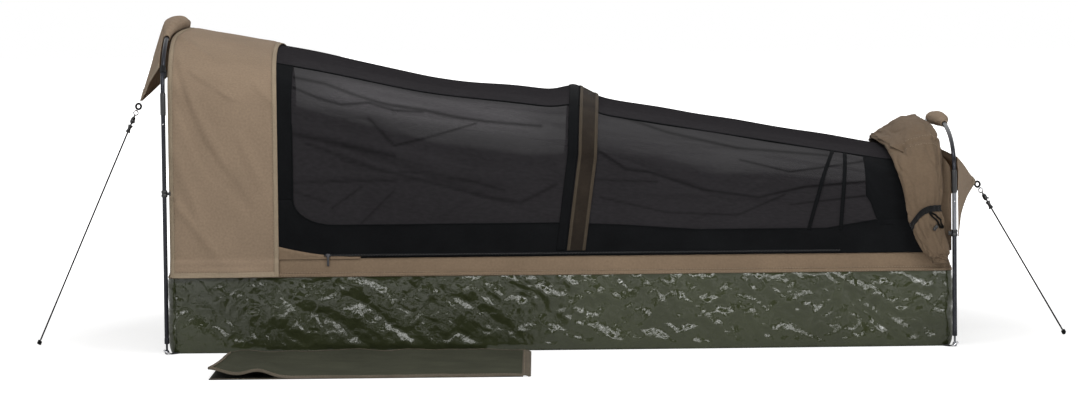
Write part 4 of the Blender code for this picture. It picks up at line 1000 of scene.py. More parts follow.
def makeBorder(side):
    settings, name = borderSettings, sideNames[side]
    edge = windowEdge(side)
    windowHead, windowFoot = windowEnds(side)
    headX, footX, out = netEdges["head"], netEdges["foot"], canopy["borderOut"]
    gussetFoot, black = bandSettings["gussetFoot"], finishes["border"]

    def lift(x):
        return bandSettings["gussetRise"] * clamp((gussetFoot - x) / (gussetFoot - headX)) ** 2

    def sillPoint(u, v):
        x = mix(headX, footX, u)
        low = girthAt(x, canopy["floor"] + settings["gap"] + lift(x))
        high = girthAt(x, lineHeight(edge, clamp(x, edge[0][0], edge[-1][0])))
        return canopyPoint(x, side * mix(low, high, v), out + 0.0008 * waver(x * 14, v * 3, side) + 0.0008)

    def columnPoint(u, v, low, high, corner):
        x = mix(low, high, u)
        bottom = girthAt(x, mix(netEdges["cornerHigh"], corner, smooth(u * 5)) - settings["cornerGap"])
        ripple = 0.0006 * waver(x * 14, v * 5, side + 9) + 0.0004
        return canopyPoint(x, side * mix(bottom, canopy["seam"], v), out + ripple)

    sill = makeCloth(name + "BorderSill", settings["sillCells"], sillPoint,
                     (footX - headX, settings["sillFlat"]), black, settings["thick"])
    settle(sill, "root", ["net_border_" + name], keep=flatShare)
    for tag, low, high, corner in (("Head", headX, windowHead, netEdges["cornerHigh"]),
                                   ("Foot", windowFoot, footX, settings["footCorner"])):
        column = makeCloth(name + "Border" + tag, settings["columnCells"],
                           lambda u, v: columnPoint(u, v, low, high, corner), (high - low, 0.5), black,
                           settings["thick"])
        settle(column, "root", keep=flatShare)

    def gussetPoint(u, v):
        # Tan canvas at the head end, where the band sweeps up under the border.
        x = mix(headX, gussetFoot, u)
        top = girthAt(x, canopy["floor"] + settings["gussetOverlap"] + lift(x))
        return canopyPoint(x, side * mix(settings["gussetLow"], top, v), out + settings["gussetOut"])

    settle(makeCloth(name + "Gusset", (30, 8), gussetPoint, (0.19, 0.045), finishes["bandCanvas"], 0.0012),
           "root", keep=flatShare)
    # Bound seams along the roof's edge and the window's edge
    steps = settings["seamSteps"]
    roofTrail = [canopyPoint(mix(headX, footX, step / steps), side * canopy["seam"], 0.0016)
                 for step in range(steps + 1)]
    windowTrail = [canopyPoint(x, side * girthAt(x, z), out + 0.0012)
                   for x, z in [(windowHead, z) for z in settings["headSeam"]] + edge]
    for tag, trail, radius in (("RoofSeam", roofTrail, "roofSeam"),
                               ("WindowSeam", windowTrail, "windowSeam")):
        settle(makeTube(name + tag, trail, settings[radius], black, 2), "root", keep=flatShare)


makeNet()
for side in (near, far):
    makeBorder(side)
print("net and borders made")


# Strip over the middle with its stitched edges, the tape beside it, and the thin ties

stripSettings = {"width": 0.050, "edge": 0.0085, "rimAt": 0.042, "shoulderAt": 0.078, "ridgeAt": 0.090,
                 "endHeight": 0.270, "tapeWidth": 0.026, "tapeGap": 0.003, "length": 1.72, "cells": (8, 240),
                 "stitchInset": 0.0015}


def stripX(girth):
    reach = abs(girth)
    shoulder = canopy["shoulder"]
    if reach < shoulder:
        return mix(stripSettings["ridgeAt"], stripSettings["shoulderAt"], reach / shoulder)
    return mix(stripSettings["shoulderAt"], stripSettings["rimAt"], (reach - shoulder) / (1.0 - shoulder))


def makeStrip(name, shift, width, out, material, crown=0.0, rough=0.0):
    end = girthAt(stripSettings["rimAt"], stripSettings["endHeight"])

    def surface(u, v):
        girth = mix(-end, end, v)
        rise = out + crown * sin(pi * u) + rough * waver(u * 3.0, v * 40.0, 4.0)
        return canopyPoint(stripX(girth) + shift + (u - 0.5) * width, girth, rise)

    return makeCloth(name, stripSettings["cells"], surface, (width, stripSettings["length"]), material,
                     0.0010)


def makeStrips():
    width, edge, length = stripSettings["width"], stripSettings["edge"], stripSettings["length"]
    out = canopy["stripOut"]
    strip = makeStrip("centreStrip", 0.0, width - edge, out, finishes["strip"], 0.0008, 0.0006)
    settle(strip, "root", ["centre_strip"], keep=flatShare)
    half = (width - edge) / 2
    end = girthAt(stripSettings["rimAt"], stripSettings["endHeight"])
    rows = []
    for tag, side in (("Head", -1), ("Foot", 1)):
        settle(makeStrip("stripEdge" + tag, side * half, edge, out + 0.0010, finishes["stripEdge"], 0.0008),
               "root", keep=flatShare)
        shift = side * (half - stripSettings["stitchInset"])
        rows.append((lambda s, shift=shift: canopyPoint(stripX(mix(-end, end, s)) + shift, mix(-end, end, s),
                                                        out + 0.0024), length, (0, -1, 0.3)))
    settle(makeStitches("stripStitches", rows, finishes["stripThread"]), "root", keep=flatShare)
    shift = -(width + stripSettings["tapeWidth"]) / 2 - stripSettings["tapeGap"]
    tape = makeStrip("centreTape", shift, stripSettings["tapeWidth"], out - 0.0008, finishes["border"],
                     0.0010)
    settle(tape, "root", ["centre_tape"], keep=flatShare)


tieSettings = {"width": 0.010, "tops": (0.748, 0.781), "feet": (0.674, 0.761), "hem": 0.318, "out": 0.0026}


def makeTies():
    for number, (top, bottom) in enumerate(zip(tieSettings["tops"], tieSettings["feet"]), start=1):
        low = girthAt(bottom, tieSettings["hem"])

        def surface(u, v):
            girth = -mix(low, canopy["seam"], v)
            return canopyPoint(mix(bottom, top, v) + (u - 0.5) * tieSettings["width"], girth,
                               tieSettings["out"])

        tie = makeCloth(f"netTie{number}", (3, 60), surface, (tieSettings["width"], 0.4), finishes["border"],
                        0.0010)
        settle(tie, "root", [f"net_tie_{number}"], keep=flatShare)


makeStrips()
makeTies()
print("strip, tape and ties made")


# Head canvas: over the head end from rim to rim, its hems hanging over the band

canvasSettings = {"headEdge": canvasLow.x - 0.006, "footEdge": canvasHigh.x, "hem": 0.012, "drawn": 0.012,
                  "slack": 0.0036, "foldDepth": 1.6, "width": 2.06, "cells": (64, 330), "thick": 0.0014,
                  "sleeveTop": {head: 0.030, foot: 0.026}, "sleeveShare": {head: 0.270, foot: 0.150},
                  "sleeveEnd": 0.0088,
                  # More rows on the arch than on the hems: share of the width, girth
                  "rowGirths": [(0.0, -2.0), (0.03, -1.0), (0.22, -0.62), (0.5, 0.0), (0.78, 0.62),
                                (0.97, 1.0), (1.0, 2.0)]}
hoopSettings = {
    "x": 1.066, "half": 0.457, "power": 2.5, "top": {head: 0.888, foot: 0.600},
    "rise": {head: 0.188, foot: 0.130}, "radius": 0.006, "shoulder": 0.62, "pivot": 0.0078, "steps": 72,
    "ferrule": 0.034, "collar": 0.030,
}
canvasFolds = [  # across, height, across, height, width, size: creases that fan out from the hoop's top
    (-1.034, 0.865, -0.829, 0.818, 0.008, 0.0040), (-1.037, 0.850, -0.921, 0.775, 0.008, 0.0036),
    (-1.000, 0.765, -0.921, 0.715, 0.008, 0.0032), (-0.921, 0.715, -0.870, 0.683, 0.007, 0.0026),
    (-0.829, 0.735, -0.768, 0.668, 0.008, 0.0028), (-1.030, 0.700, -0.915, 0.440, 0.016, -0.0058),
    (-1.010, 0.720, -0.890, 0.470, 0.014, 0.0030), (-1.046, 0.560, -0.950, 0.300, 0.016, 0.0036),
    (-0.960, 0.560, -0.820, 0.360, 0.018, -0.0036), (-0.870, 0.600, -0.790, 0.420, 0.014, 0.0026),
    (-1.046, 0.800, -0.990, 0.640, 0.010, -0.0036), (-1.048, 0.420, -0.900, 0.230, 0.012, 0.0030),
]


def sleeveHalf(end, girth):
    share = smooth(abs(girth) / canvasSettings["sleeveShare"][end])
    return mix(canvasSettings["sleeveTop"][end], canvasSettings["sleeveEnd"], share)


def canvasPoint(u, girth, out=0.0):
    headEdge = max(canvasSettings["headEdge"], -hoopSettings["x"] + sleeveHalf(head, girth) + 0.001)
    footEdge = canvasSettings["footEdge"] - canvasSettings["drawn"] * smooth(1.0 - abs(girth) / 0.62)
    x = mix(headEdge, footEdge, u)
    z = canopyPoint(x, girth).z
    fold = ridges(canvasFolds, x, z) * (1.0 if girth < 0 else -0.7) if abs(girth) > 0.2 else 0.0
    fold *= canvasSettings["foldDepth"]
    fold += flutter(x, girth, 0.0030, 5.0, 2.0 if girth < 0 else 8.0)
    loose = smooth((abs(girth) - 0.9) * 3.0)
    fold += loose * (0.0022 * sin(x * 46.0 + girth) + 0.0012)
    fold += canvasSettings["slack"] * smooth(u * 9.0) * smooth((1.0 - u) * 9.0)
    hung = smooth((abs(girth) - 1.0) * 2.0)
    return canopyPoint(x, girth,
                       canopy["canvasOut"] + out + max(fold, -0.0010) * (1.0 - 0.5 * smooth((u - 0.94) * 16))
                       + 0.0014 * hung)


def makeHeadCanvas():
    settings = canvasSettings
    width, length = settings["width"], settings["footEdge"] - settings["headEdge"]
    long, short = settings["cells"][1], settings["cells"][0]

    def rowPoint(u, v, out=0.0):
        return canvasPoint(u, lineHeight(settings["rowGirths"], v), out)

    canvas = makeCloth("headCanvas", settings["cells"], rowPoint, (length, width), finishes["canvas"],
                       settings["thick"])
    settle(canvas, "root", ["head_canvas"], keep=flatShare)
    hem = settings["hem"] / length
    trims = [  # name, cells, surface, flat size
        ("Foot", (4, long), lambda u, v: rowPoint(mix(1.0 - hem, 1.0, u), v, 0.0013),
         (settings["hem"], width)),
        ("Head", (4, long), lambda u, v: rowPoint(mix(0.0, hem, u), v, 0.0013), (settings["hem"], width))]
    trims += [(sideTags[side], (short, 4),
               lambda u, v, side=side: canvasPoint(u, side * mix(2.0, 1.72, v), 0.0013), (length, 0.013))
              for side in (near, far)]
    # The hems take the lighter canvas, a painted highlight along the edges
    for tag, cells, surface, size in trims:
        settle(makeCloth("canvasHem" + tag, cells, surface, size, finishes["canvasEdgeHighlight"], 0.0011),
               "root", keep=flatShare)
    rows = [(lambda s, place=place: rowPoint(place, mix(0.01, 0.99, s), 0.0016), width, (0, -1, 0.3))
            for place in (hem * 1.15, 1.0 - hem * 1.15)]
    rows += [(lambda s, side=side: canvasPoint(mix(0.02, 0.98, s), side * 1.68, 0.0016), length, (0, side, 0))
             for side in (near, far)]
    settle(makeStitches("canvasStitches", rows, finishes["thread"]), "root", keep=flatShare)


makeHeadCanvas()
print("head canvas made")


# End walls of canvas, leaning in from the rim to the hoop's crown

wallSettings = {"width": 0.85, "gap": 0.0003, "out": {head: canopy["canvasOut"] - 0.0012, foot: -0.002},
                "belly": 0.006, "ruffle": 0.0025, "thick": 0.0014, "areaShare": 0.88,
                "seams": (0.335, 0.345, 0.655, 0.665)}


def makeEndWall(end):
    name, settings = endNames[end], wallSettings
    half, floor, width = canopy["length"] / 2, canopy["floor"], settings["width"]
    topX = netEdges["foot"] - settings["gap"]
    ridge = canopyRidge(end * topX)

    def surface(u, v):
        top = canopyPoint(end * topX, mix(-1.0, 1.0, u), settings["out"][end])
        z = mix(floor, top.z, v)
        share = (z - floor) / (ridge - floor)
        x = end * (mix(half, topX, share) - settings["belly"] * sin(pi * share) * sin(pi * u))
        x += end * settings["ruffle"] * waver(top.y * 9.0, z * 5.0, end)
        return Vector((x, top.y, z))

    wall = makeCloth(name + "Wall", (90, 60), surface, (width, ridge - floor), finishes["canvas"],
                     settings["thick"])
    settle(wall, "root", [name + "_end_wall"], keep=flatShare)
    ahead = Vector((end * 0.0012, 0, 0))
    rows = [(lambda s, y=y: surface(y, mix(0.02, 0.97, s)) + ahead, ridge - floor, (end, 0, 0))
            for y in settings["seams"]]
    rows.append((lambda s: surface(mix(0.02, 0.98, s), 0.03) + ahead, width, (end, 0, 0)))
    settle(makeStitches(name + "WallStitches", rows, finishes["thread"]), "root", keep=flatShare)


def hoopShoulder(end):
    return hoopSettings["top"][end] - hoopSettings["rise"][end]


footPanelSettings = {"inner": 1.006, "outer": 1.0590, "outerTop": 1.040, "top": 0.03, "bottom": 0.985,
                     "inset": 0.010, "rise": 0.03, "slack": 0.006, "drawnFrom": 0.47, "drawnOver": 0.12}


def makeFootPanel(side):
    # Canvas from the end wall's edge out to the hoop's leg, behind the rolled cover.
    settings = footPanelSettings

    def surface(u, v):
        girth = mix(settings["bottom"], settings["top"], v)
        inner = canopyPoint(settings["inner"], side * girth, canopy["canvasOut"])
        y, z, _, _ = arch(hoopSettings["half"] - settings["inset"], hoopShoulder(foot),
                          hoopSettings["rise"][foot] - settings["inset"], hoopSettings["power"],
                          side * girth / canopy["shoulder"])
        if girth > canopy["shoulder"]:
            z = inner.z
        drawn = smooth((settings["drawnFrom"] - girth) / settings["drawnOver"])
        outer = Vector((mix(settings["outer"], settings["outerTop"], drawn), y,
                        mix(inner.z, min(z, inner.z + settings["rise"]), 0.5)))
        slack = settings["slack"] * sin(pi * u) * (0.4 + waver(v * 7.0, u * 2.0, side))
        return inner.lerp(outer, u) + Vector((0, -side * slack, 0))

    # The panel takes the darker roll canvas, painted shade behind the roll
    panel = makeCloth("footPanel" + sideTags[side], (12, 110), surface, (0.05, 0.55),
                      finishes["rollCanvasShaded"])
    settle(panel, "root", keep=flatShare)


for end in (head, foot):
    makeEndWall(end)
for side in (near, far):
    makeFootPanel(side)
print("end walls made")


# Hoops: crowns, legs with their ferrules, clips, tabs, rings and corner webbing

def hoopPoint(end, girth, out=0.0):
    shoulder, reach = hoopShoulder(end), hoopSettings["shoulder"]
    y, z, outY, outZ = arch(hoopSettings["half"], shoulder, hoopSettings["rise"][end], hoopSettings["power"],
                            girth / reach)
    if abs(girth) > reach:
        z = mix(shoulder, hoopSettings["pivot"], (abs(girth) - reach) / (1.0 - reach))
    return Vector((end * hoopSettings["x"], y + out * outY, z + out * outZ))


legProfiles = {  # (radius, height): heights of the first two are from the crown's lower end
    "legTop": [(0.0, -0.0003), (0.0054, -0.0003), (0.0060, -0.0010)],
    "ferrule": [(0.0062, 0.040), (0.0074, 0.038), (0.0077, 0.034), (0.0077, -0.018), (0.0072, -0.021),
                (0.0062, -0.022)],
    "legEnd": [(0.0060, 0.0330), (0.0056, 0.0305), (0.0034, 0.0300), (0.0030, 0.0290), (0.0030, 0.0142),
               (0.0046, 0.0128), (0.0062, 0.0104), (0.0066, 0.0078), (0.0057, 0.0045), (0.0033, 0.0021),
               (0.0, 0.0012)],
    "button": [(0.0, 0.0020), (0.0014, 0.0016), (0.0020, 0.0006), (0.0021, -0.0010)],
    "cap": [(0.0061, 0.0300), (0.0066, 0.0310), (0.0066, 0.0450), (0.00635, 0.0460)],
    "clip": [(0.0066, 0.0090), (0.0080, 0.0090), (0.0086, 0.0078), (0.0086, 0.0030), (0.0078, 0.0018),
             (0.0078, -0.0018), (0.0086, -0.0030), (0.0086, -0.0078), (0.0080, -0.0090), (0.0066, -0.0090)],
    "tabBand": [(0.0061, 0.0100), (0.0079, 0.0098), (0.0079, -0.0098), (0.0061, -0.0100)],
}


def fromHeight(profile, height):
    return [(radius, height + lift) for radius, lift in profile]


def makeHoop(end):
    name, settings, profiles = endNames[end], hoopSettings, legProfiles
    body, dark, plastic = name + "_hoop", finishes["poleDark"], finishes["plastic"]
    reach, low = settings["shoulder"], hoopShoulder(end) - settings["collar"]
    steps = settings["steps"]
    arc = [hoopPoint(end, mix(-reach, reach, step / steps)) for step in range(steps + 1)]
    route = [Vector((arc[0].x, arc[0].y, low))] + arc + [Vector((arc[-1].x, arc[-1].y, low))]
    settle(makeTube(name + "Crown", route, settings["radius"], dark, 6), body, [name + "_hoop_crown"])
    capTop = 0.0450 if end == head else middleOf("foot_pole_clip_near").z - 0.004
    capProfile = profiles["cap"] + [(0.00635, capTop), (0.0061, capTop + 0.001)]
    for side in (near, far):
        tag = sideTags[side]
        ground = Vector((end * settings["x"], side * settings["half"], 0.0))
        upright = Matrix.Translation(ground)
        leg = makeTurned(name + "Leg" + tag, fromHeight(profiles["legTop"], low) + profiles["legEnd"],
                         upright, dark if end == head else finishes["poleGrey"])
        settle(leg, body, [name + "_hoop_leg_" + sideNames[side]])
        ferrule = fromHeight(profiles["ferrule"], low)
        settle(makeTurned(name + "Ferrule" + tag, ferrule, upright, plastic, closed=True),
               body)
        pressed = Matrix.Translation(ground + Vector((0, side * 0.0062, low - 0.045))) @ facing((0, side, 0))
        settle(makeTurned(name + "Button" + tag, profiles["button"], pressed, finishes["steel"], 16), body)
        settle(makeTurned(name + "LegCap" + tag, capProfile, upright, dark, 24, True), body)
        makeClip(end, side, ground)
        makeCorner(end, side)
    print(name, "hoop made")


clipArm = (((0.0080, 0.0056, 0.0085), 0.0115), ((0.0030, 0.0090, 0.0120), 0.0150))  # size, reach inward


def makeClip(end, side, ground):
    name, tag, plastic = endNames[end], sideTags[side], finishes["plastic"]
    node = f"{name}_pole_clip_{sideNames[side]}"
    at = ground + Vector((0, 0, middleOf(node).z))
    settle(makeTurned(f"{name}Clip{tag}", legProfiles["clip"], Matrix.Translation(at), plastic, closed=True),
           name + "_hoop", [node])
    arm = [(size, at + Vector((-end * inward, 0, 0))) for size, inward in clipArm]
    settle(makeBlock(f"{name}ClipArm{tag}", arm, plastic), name + "_hoop")


ringSettings = {"radius": 0.0095, "wire": 0.0023, "tilt": 30, "strapWidth": 0.016, "strapThick": 0.0024,
                "strapFrom": 0.0118, "strapShort": 0.020, "strapRise": 0.0018}


def makeCorner(end, side):
    settings = ringSettings
    tag = endNames[end] + sideTags[side]
    node = endNames[end] + "_" + sideNames[side]
    pivot = Vector((end * hoopSettings["x"], side * hoopSettings["half"], hoopSettings["pivot"]))
    turn = Matrix.Rotation(radians(-end * settings["tilt"]), 4, "Y")
    settle(makeRing(tag + "Ring", settings["radius"], settings["wire"], Matrix.Translation(pivot) @ turn,
                    finishes["steel"]), "root", ["corner_ring_" + node])
    bend = tubSettings["corner"]
    corner = Vector((end * (tubHigh.x - bend), side * (tubHigh.y - tubSettings["bow"] - bend), 0))
    start = Vector((pivot.x, pivot.y, 0.0))
    along = (corner - start).normalized()
    span = (corner - start).length - settings["strapShort"]

    def surface(u, v):
        place = mix(settings["strapFrom"], span, v)
        sideways = Vector((-along.y, along.x, 0)) * (u - 0.5) * settings["strapWidth"]
        sideways *= mix(0.75, 1.0, smooth(v * 2))
        return start + along * place + sideways + Vector((0, 0, settings["strapRise"] + 0.0006 * sin(pi * u)))

    strap = makeCloth(tag + "Strap", (8, 12), surface, (settings["strapWidth"], span), finishes["webbing"],
                      settings["strapThick"])
    settle(strap, "root", ["corner_strap_" + node])


tabSettings = {"girth": 0.50, "width": 0.022, "from": 0.0068, "short": 0.0030, "thick": 0.0024, "bow": 0.0012}


def makeTab(side):
    # Webbing from the head crown to the canvas, with a band round the pole.
    settings = tabSettings
    girth = side * settings["girth"]
    pole = hoopPoint(head, girth)
    along = (hoopPoint(head, girth - side * 0.01) - pole).normalized()
    reach = canopyPoint(canvasSettings["headEdge"], girth, canopy["canvasOut"]) - pole
    reach -= along * reach.dot(along)
    inward, length = reach.normalized(), reach.length

    def surface(u, v):
        return (pole + inward * mix(settings["from"], length - settings["short"], v)
                + along * (u - 0.5) * settings["width"]
                + along.cross(inward) * settings["bow"] * sin(v * 3.0))

    tab = makeCloth("crownTab" + sideTags[side], (8, 10), surface, (settings["width"], length),
                    finishes["webbing"], settings["thick"])
    settle(tab, "head_hoop", ["head_crown_tab_" + sideNames[side]])
    band = makeTurned("crownTabBand" + sideTags[side], legProfiles["tabBand"],
                      Matrix.Translation(pole) @ facing(along, (1, 0, 0)), finishes["webbing"], 24, True)
    settle(band, "head_hoop")


for end in (head, foot):
    makeHoop(end)
for side in (near, far):
    makeTab(side)


# Crown sleeves: gathered canvas round the top of each hoop

sleeveSettings = {"depth": {head: 0.0200, foot: 0.0180}, "gather": 0.0016, "ruffle": 0.0022, "thick": 0.0016,
                  "cells": (40, 150), "flat": (0.16, 1.10)}


def makeSleeve(end):
    name, settings = endNames[end], sleeveSettings
    share = canvasSettings["sleeveShare"][end]

    def surface(u, v):
        girth = mix(-share, share, v)
        centre = hoopPoint(end, girth)
        outward = hoopPoint(end, girth, 1.0) - centre
        half = sleeveHalf(end, girth)
        depth = mix(canvasSettings["sleeveEnd"] + 0.0004, settings["depth"][end],
                    1.0 - smooth(abs(girth) / share))
        angle = 2 * pi * u
        gather = settings["gather"] * sin(v * 95.0 + 2.0 * cos(angle)) * (0.4 + 0.6 * abs(sin(angle * 1.5)))
        gather += settings["ruffle"] * waver(cos(angle) * 1.5, v * 14.0, sin(angle) * 1.5 + end)
        gather = max(gather, -0.0004) * smooth(min(v, 1.0 - v) * 30)
        sideways = Vector((1, 0, 0)) * cos(angle) * (half + gather)
        return centre + sideways + outward * sin(angle) * (depth + gather)

    bm = gridMesh(settings["cells"], surface, settings["flat"], weldDistance["cloth"])
    bmesh.ops.recalc_face_normals(bm, faces=bm.faces)
    sleeve = thicken(makeObject(name + "Sleeve", bm, finishes["canvas"]), settings["thick"], -1.0)
    settle(sleeve, name + "_hoop", [name + "_crown_sleeve"])
    rows = [(lambda s, angle=angle: surface(angle, mix(0.02, 0.98, s)), settings["flat"][1],
             lambda p: Vector((0, p.y, 0.2)).normalized()) for angle in (0.08, 0.42)]
    settle(makeStitches(name + "SleeveStitches", rows, finishes["thread"]), name + "_hoop")


for end in (head, foot):
    makeSleeve(end)
print("sleeves made")


# Gable flaps, drawn out to a tip

flapSettings = {"reach": 0.112, "tipHeight": {head: 0.655, foot: 0.413},
                "girthShare": {head: 0.49, foot: 0.76}, "topShare": {head: 0.0, foot: 0.52}, "span": 0.15,
                "tipShare": 0.05, "narrow": 0.96, "cutShare": {head: 0.02, foot: 0.0},
                "hollow": {head: 0.0, foot: 0.014}, "drawnUp": 0.3,
                "drawnAxis": (0.649, 0, 0.761), "drawnAt": (hoopSettings["x"] + 0.010, 0, 0.500),
                "thick": 0.0014, "gap": 0.0015, "size": (0.95, 0.36), "areaWidth": 0.30, "cells": (110, 60),
                "pleat": 0.0030}


def flapPoint(end, u, v, out=0.0):
    # From the hoop to the tip. The foot flap leaves the hoop's top bare and spans between the legs instead.
    settings = flapSettings
    tip = Vector((end * (hoopSettings["x"] + settings["reach"]), 0.0, settings["tipHeight"][end]))
    crown = hoopPoint(end, 0.0) + Vector((end * (canvasSettings["sleeveTop"][head] + settings["gap"]), 0, 0))
    tip = crown.lerp(tip, 1.0 - settings["tipShare"])
    reach = settings["girthShare"][end] * (1.0 - settings["cutShare"][end] * 4.0 * v * (1.0 - v))
    top, spread = settings["topShare"][end], 2.0 * u - 1.0
    span = settings["span"] if top else 0.0
    girth = copysign(mix(top, reach, max(abs(spread) - span, 0.0) / (1.0 - span)), spread)
    edge = hoopPoint(end, girth)
    if abs(spread) < span:
        edge.y *= abs(spread) / span
    edge.x += end * (sleeveHalf(end, girth) + settings["gap"])
    point = edge.lerp(tip, v * settings["narrow"])
    loose = sin(pi * v) * 0.6 + 0.15
    pleat = settings["pleat"] * sin(u * 31.0 + 1.3 * sin(v * 5.0)) * loose * (1.0 - v) ** 0.5
    pleat += settings["pleat"] * waver(u * 4.0, v * 3.0, end * 3.0) * loose
    hollow = settings["hollow"][end] * sin(pi * v) * abs(spread) ** 3
    point.x += end * (max(pleat, -0.0008) - hollow + out)
    return point


def makeFlap(end):
    settings, name = flapSettings, endNames[end]
    body, edge = name + "_hoop", finishes["canvasEdgeHighlight"]
    flap = makeCloth(name + "Flap", settings["cells"], lambda u, v: flapPoint(end, u, v), (0.9, 0.3),
                     finishes["canvas"], settings["thick"])
    pieces = [settle(flap, body, [name + "_gable_flap"])]
    area = sum(face.area for face in flap.data.polygons)
    long, wide = max(settings["size"][0], area / settings["areaWidth"] * 1.05), settings["size"][1]
    # The hems and the tip patch take the lighter canvas, a painted highlight
    for tag, low, high in (("Near", 0.0, 0.03), ("Far", 0.97, 1.0)):
        hem = makeCloth(name + "FlapHem" + tag, (4, 60),
                        lambda u, v: flapPoint(end, mix(low, high, u), v, 0.0012), (0.014, wide), edge)
        pieces.append(settle(hem, body))
    patch = makeCloth(name + "FlapPatch", (24, 16),
                      lambda u, v: flapPoint(end, mix(0.02, 0.98, u), mix(0.86, 1.0, v), 0.0014),
                      (0.1, 0.05), edge, 0.0014)
    pieces.append(settle(patch, body))
    rows = [(lambda s, u=u: flapPoint(end, u, mix(0.02, 0.98, s), 0.0018), 0.34, (end, 0, 0))
            for u in (0.036, 0.964)]
    rows.append((lambda s: flapPoint(end, mix(0.05, 0.95, s), 0.87, 0.0026), 0.12, (end, 0, 0)))
    pieces.append(settle(makeStitches(name + "FlapStitches", rows, finishes["thread"]), body))
    if end == foot:
        # Each of its pieces gets a mesh of its own.
        for piece in pieces:
            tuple(settings["drawnAxis"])
            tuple(settings["drawnAt"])
            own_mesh(piece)


for end in (head, foot):
    makeFlap(end)
print("gable flaps made")


# The cover, rolled back and draped over the foot end, with its strap

rollSettings = {
    "centres": [(0.0, 0.967), (0.16, 0.970), (0.30, 0.972), (0.45, 0.974), (0.62, 0.981), (0.80, 0.989),
                (0.90, 1.003), (1.0, 1.016), (1.6, 1.026)],
    "halves": [(0.0, 0.064), (0.16, 0.068), (0.30, 0.071), (0.45, 0.064), (0.62, 0.052), (0.80, 0.046),
               (0.90, 0.039), (1.0, 0.034), (1.6, 0.026)],
    "depthTop": 0.027, "depthRim": 0.026, "out": 0.0046, "endGirth": 1.60, "endShare": 0.62, "pinch": 0.14,
    "sides": 96, "steps": 280, "wrap": 0.0034, "wrinkle": 0.0135, "droop": 0.55, "strapHigh": 0.650,
    "strapLow": 0.820, "strapWidth": 0.046, "seam": 0.335, "flat": (0.32, 1.70),
    "lock": [(0.0, 0.0085), (0.0040, 0.0080), (0.0052, 0.0050), (0.0044, 0.0), (0.0052, -0.0050),
             (0.0040, -0.0080), (0.0, -0.0085)],
}


def strapGirth(angle):
    # The strap runs higher beside the hoop than at the roll's other side.
    share = ((1.0 - cos(angle)) / 2.0) ** 2.4
    return mix(rollSettings["strapHigh"], rollSettings["strapLow"], share)


def rollPoint(girth, angle, out=0.0):
    settings = rollSettings
    reach = abs(girth)
    share = min(reach, 1.0) ** 2
    tail = max(reach - 1.0, 0.0) / (settings["endGirth"] - 1.0)
    taper = mix(1.0, settings["endShare"], tail)
    strapAt = strapGirth(angle)
    taper *= 1.0 - swell(reach, settings["pinch"], strapAt, 0.040) + swell(reach, 0.05, strapAt + 0.10, 0.07)
    half = lineHeight(settings["halves"], reach) * taper
    depth = mix(settings["depthTop"], settings["depthRim"], share) * taper
    centre = lineHeight(settings["centres"], reach)
    # The outer turn of the roll ends in an edge that winds slowly round it
    turn = (angle / (2 * pi) + 0.18 * girth + 0.30) % 1.0
    wrap = settings["wrap"] * (1.0 - turn) - settings["wrap"] * 0.6
    wrap += settings["wrap"] * 0.8 * smooth((0.02 - turn) / 0.02)
    folds = waver(cos(angle) * 1.6, sin(angle) * 1.6, girth * 4.2)
    folds += 0.55 * waver(cos(angle) * 3.4 + girth, sin(angle) * 3.4, girth * 11.0 + 4)
    folds -= 0.7 * max(0.0, 1.0 - abs(waver(cos(angle) * 2.2, sin(angle) * 2.2, girth * 7.0 + 9)) * 9.0)
    tight = 1.0 - swell(reach, 0.75, strapAt, 0.05)
    rays = 0.0026 * sin(angle * 15.0 + 3.0 * girth)
    rays *= swell(reach, 1.0, strapAt + 0.09, 0.08) + swell(reach, 0.7, strapAt - 0.08, 0.06)
    crease = -swell(reach, 0.0060, settings["seam"], 0.006) * smooth(sin(angle) * 2.0 + 0.4)
    dent = -0.012 * swell(reach, 1.0, 0.35, 0.035) * swell(angle, 1.0, 2.35, 0.22)
    lobe = swell(girth, 0.020, 0.0, 0.19) * max(0.0, -cos(angle - 0.35)) ** 3
    bulge = (wrap + settings["wrinkle"] * folds * 0.5) * tight + rays + crease + dent + lobe
    x = centre + cos(angle) * (half + bulge + out)
    base = canopy["borderOut"] + 0.0012 + settings["out"] + depth
    rise = base + sin(angle) * (depth + bulge * 0.8 + out)
    rise *= 1.0 - settings["droop"] * max(0.0, -cos(angle)) ** 1.5 * exp(-(girth / 0.45) ** 2)
    return canopyPoint(x, girth, max(rise, 0.0034 + out * 0.5))


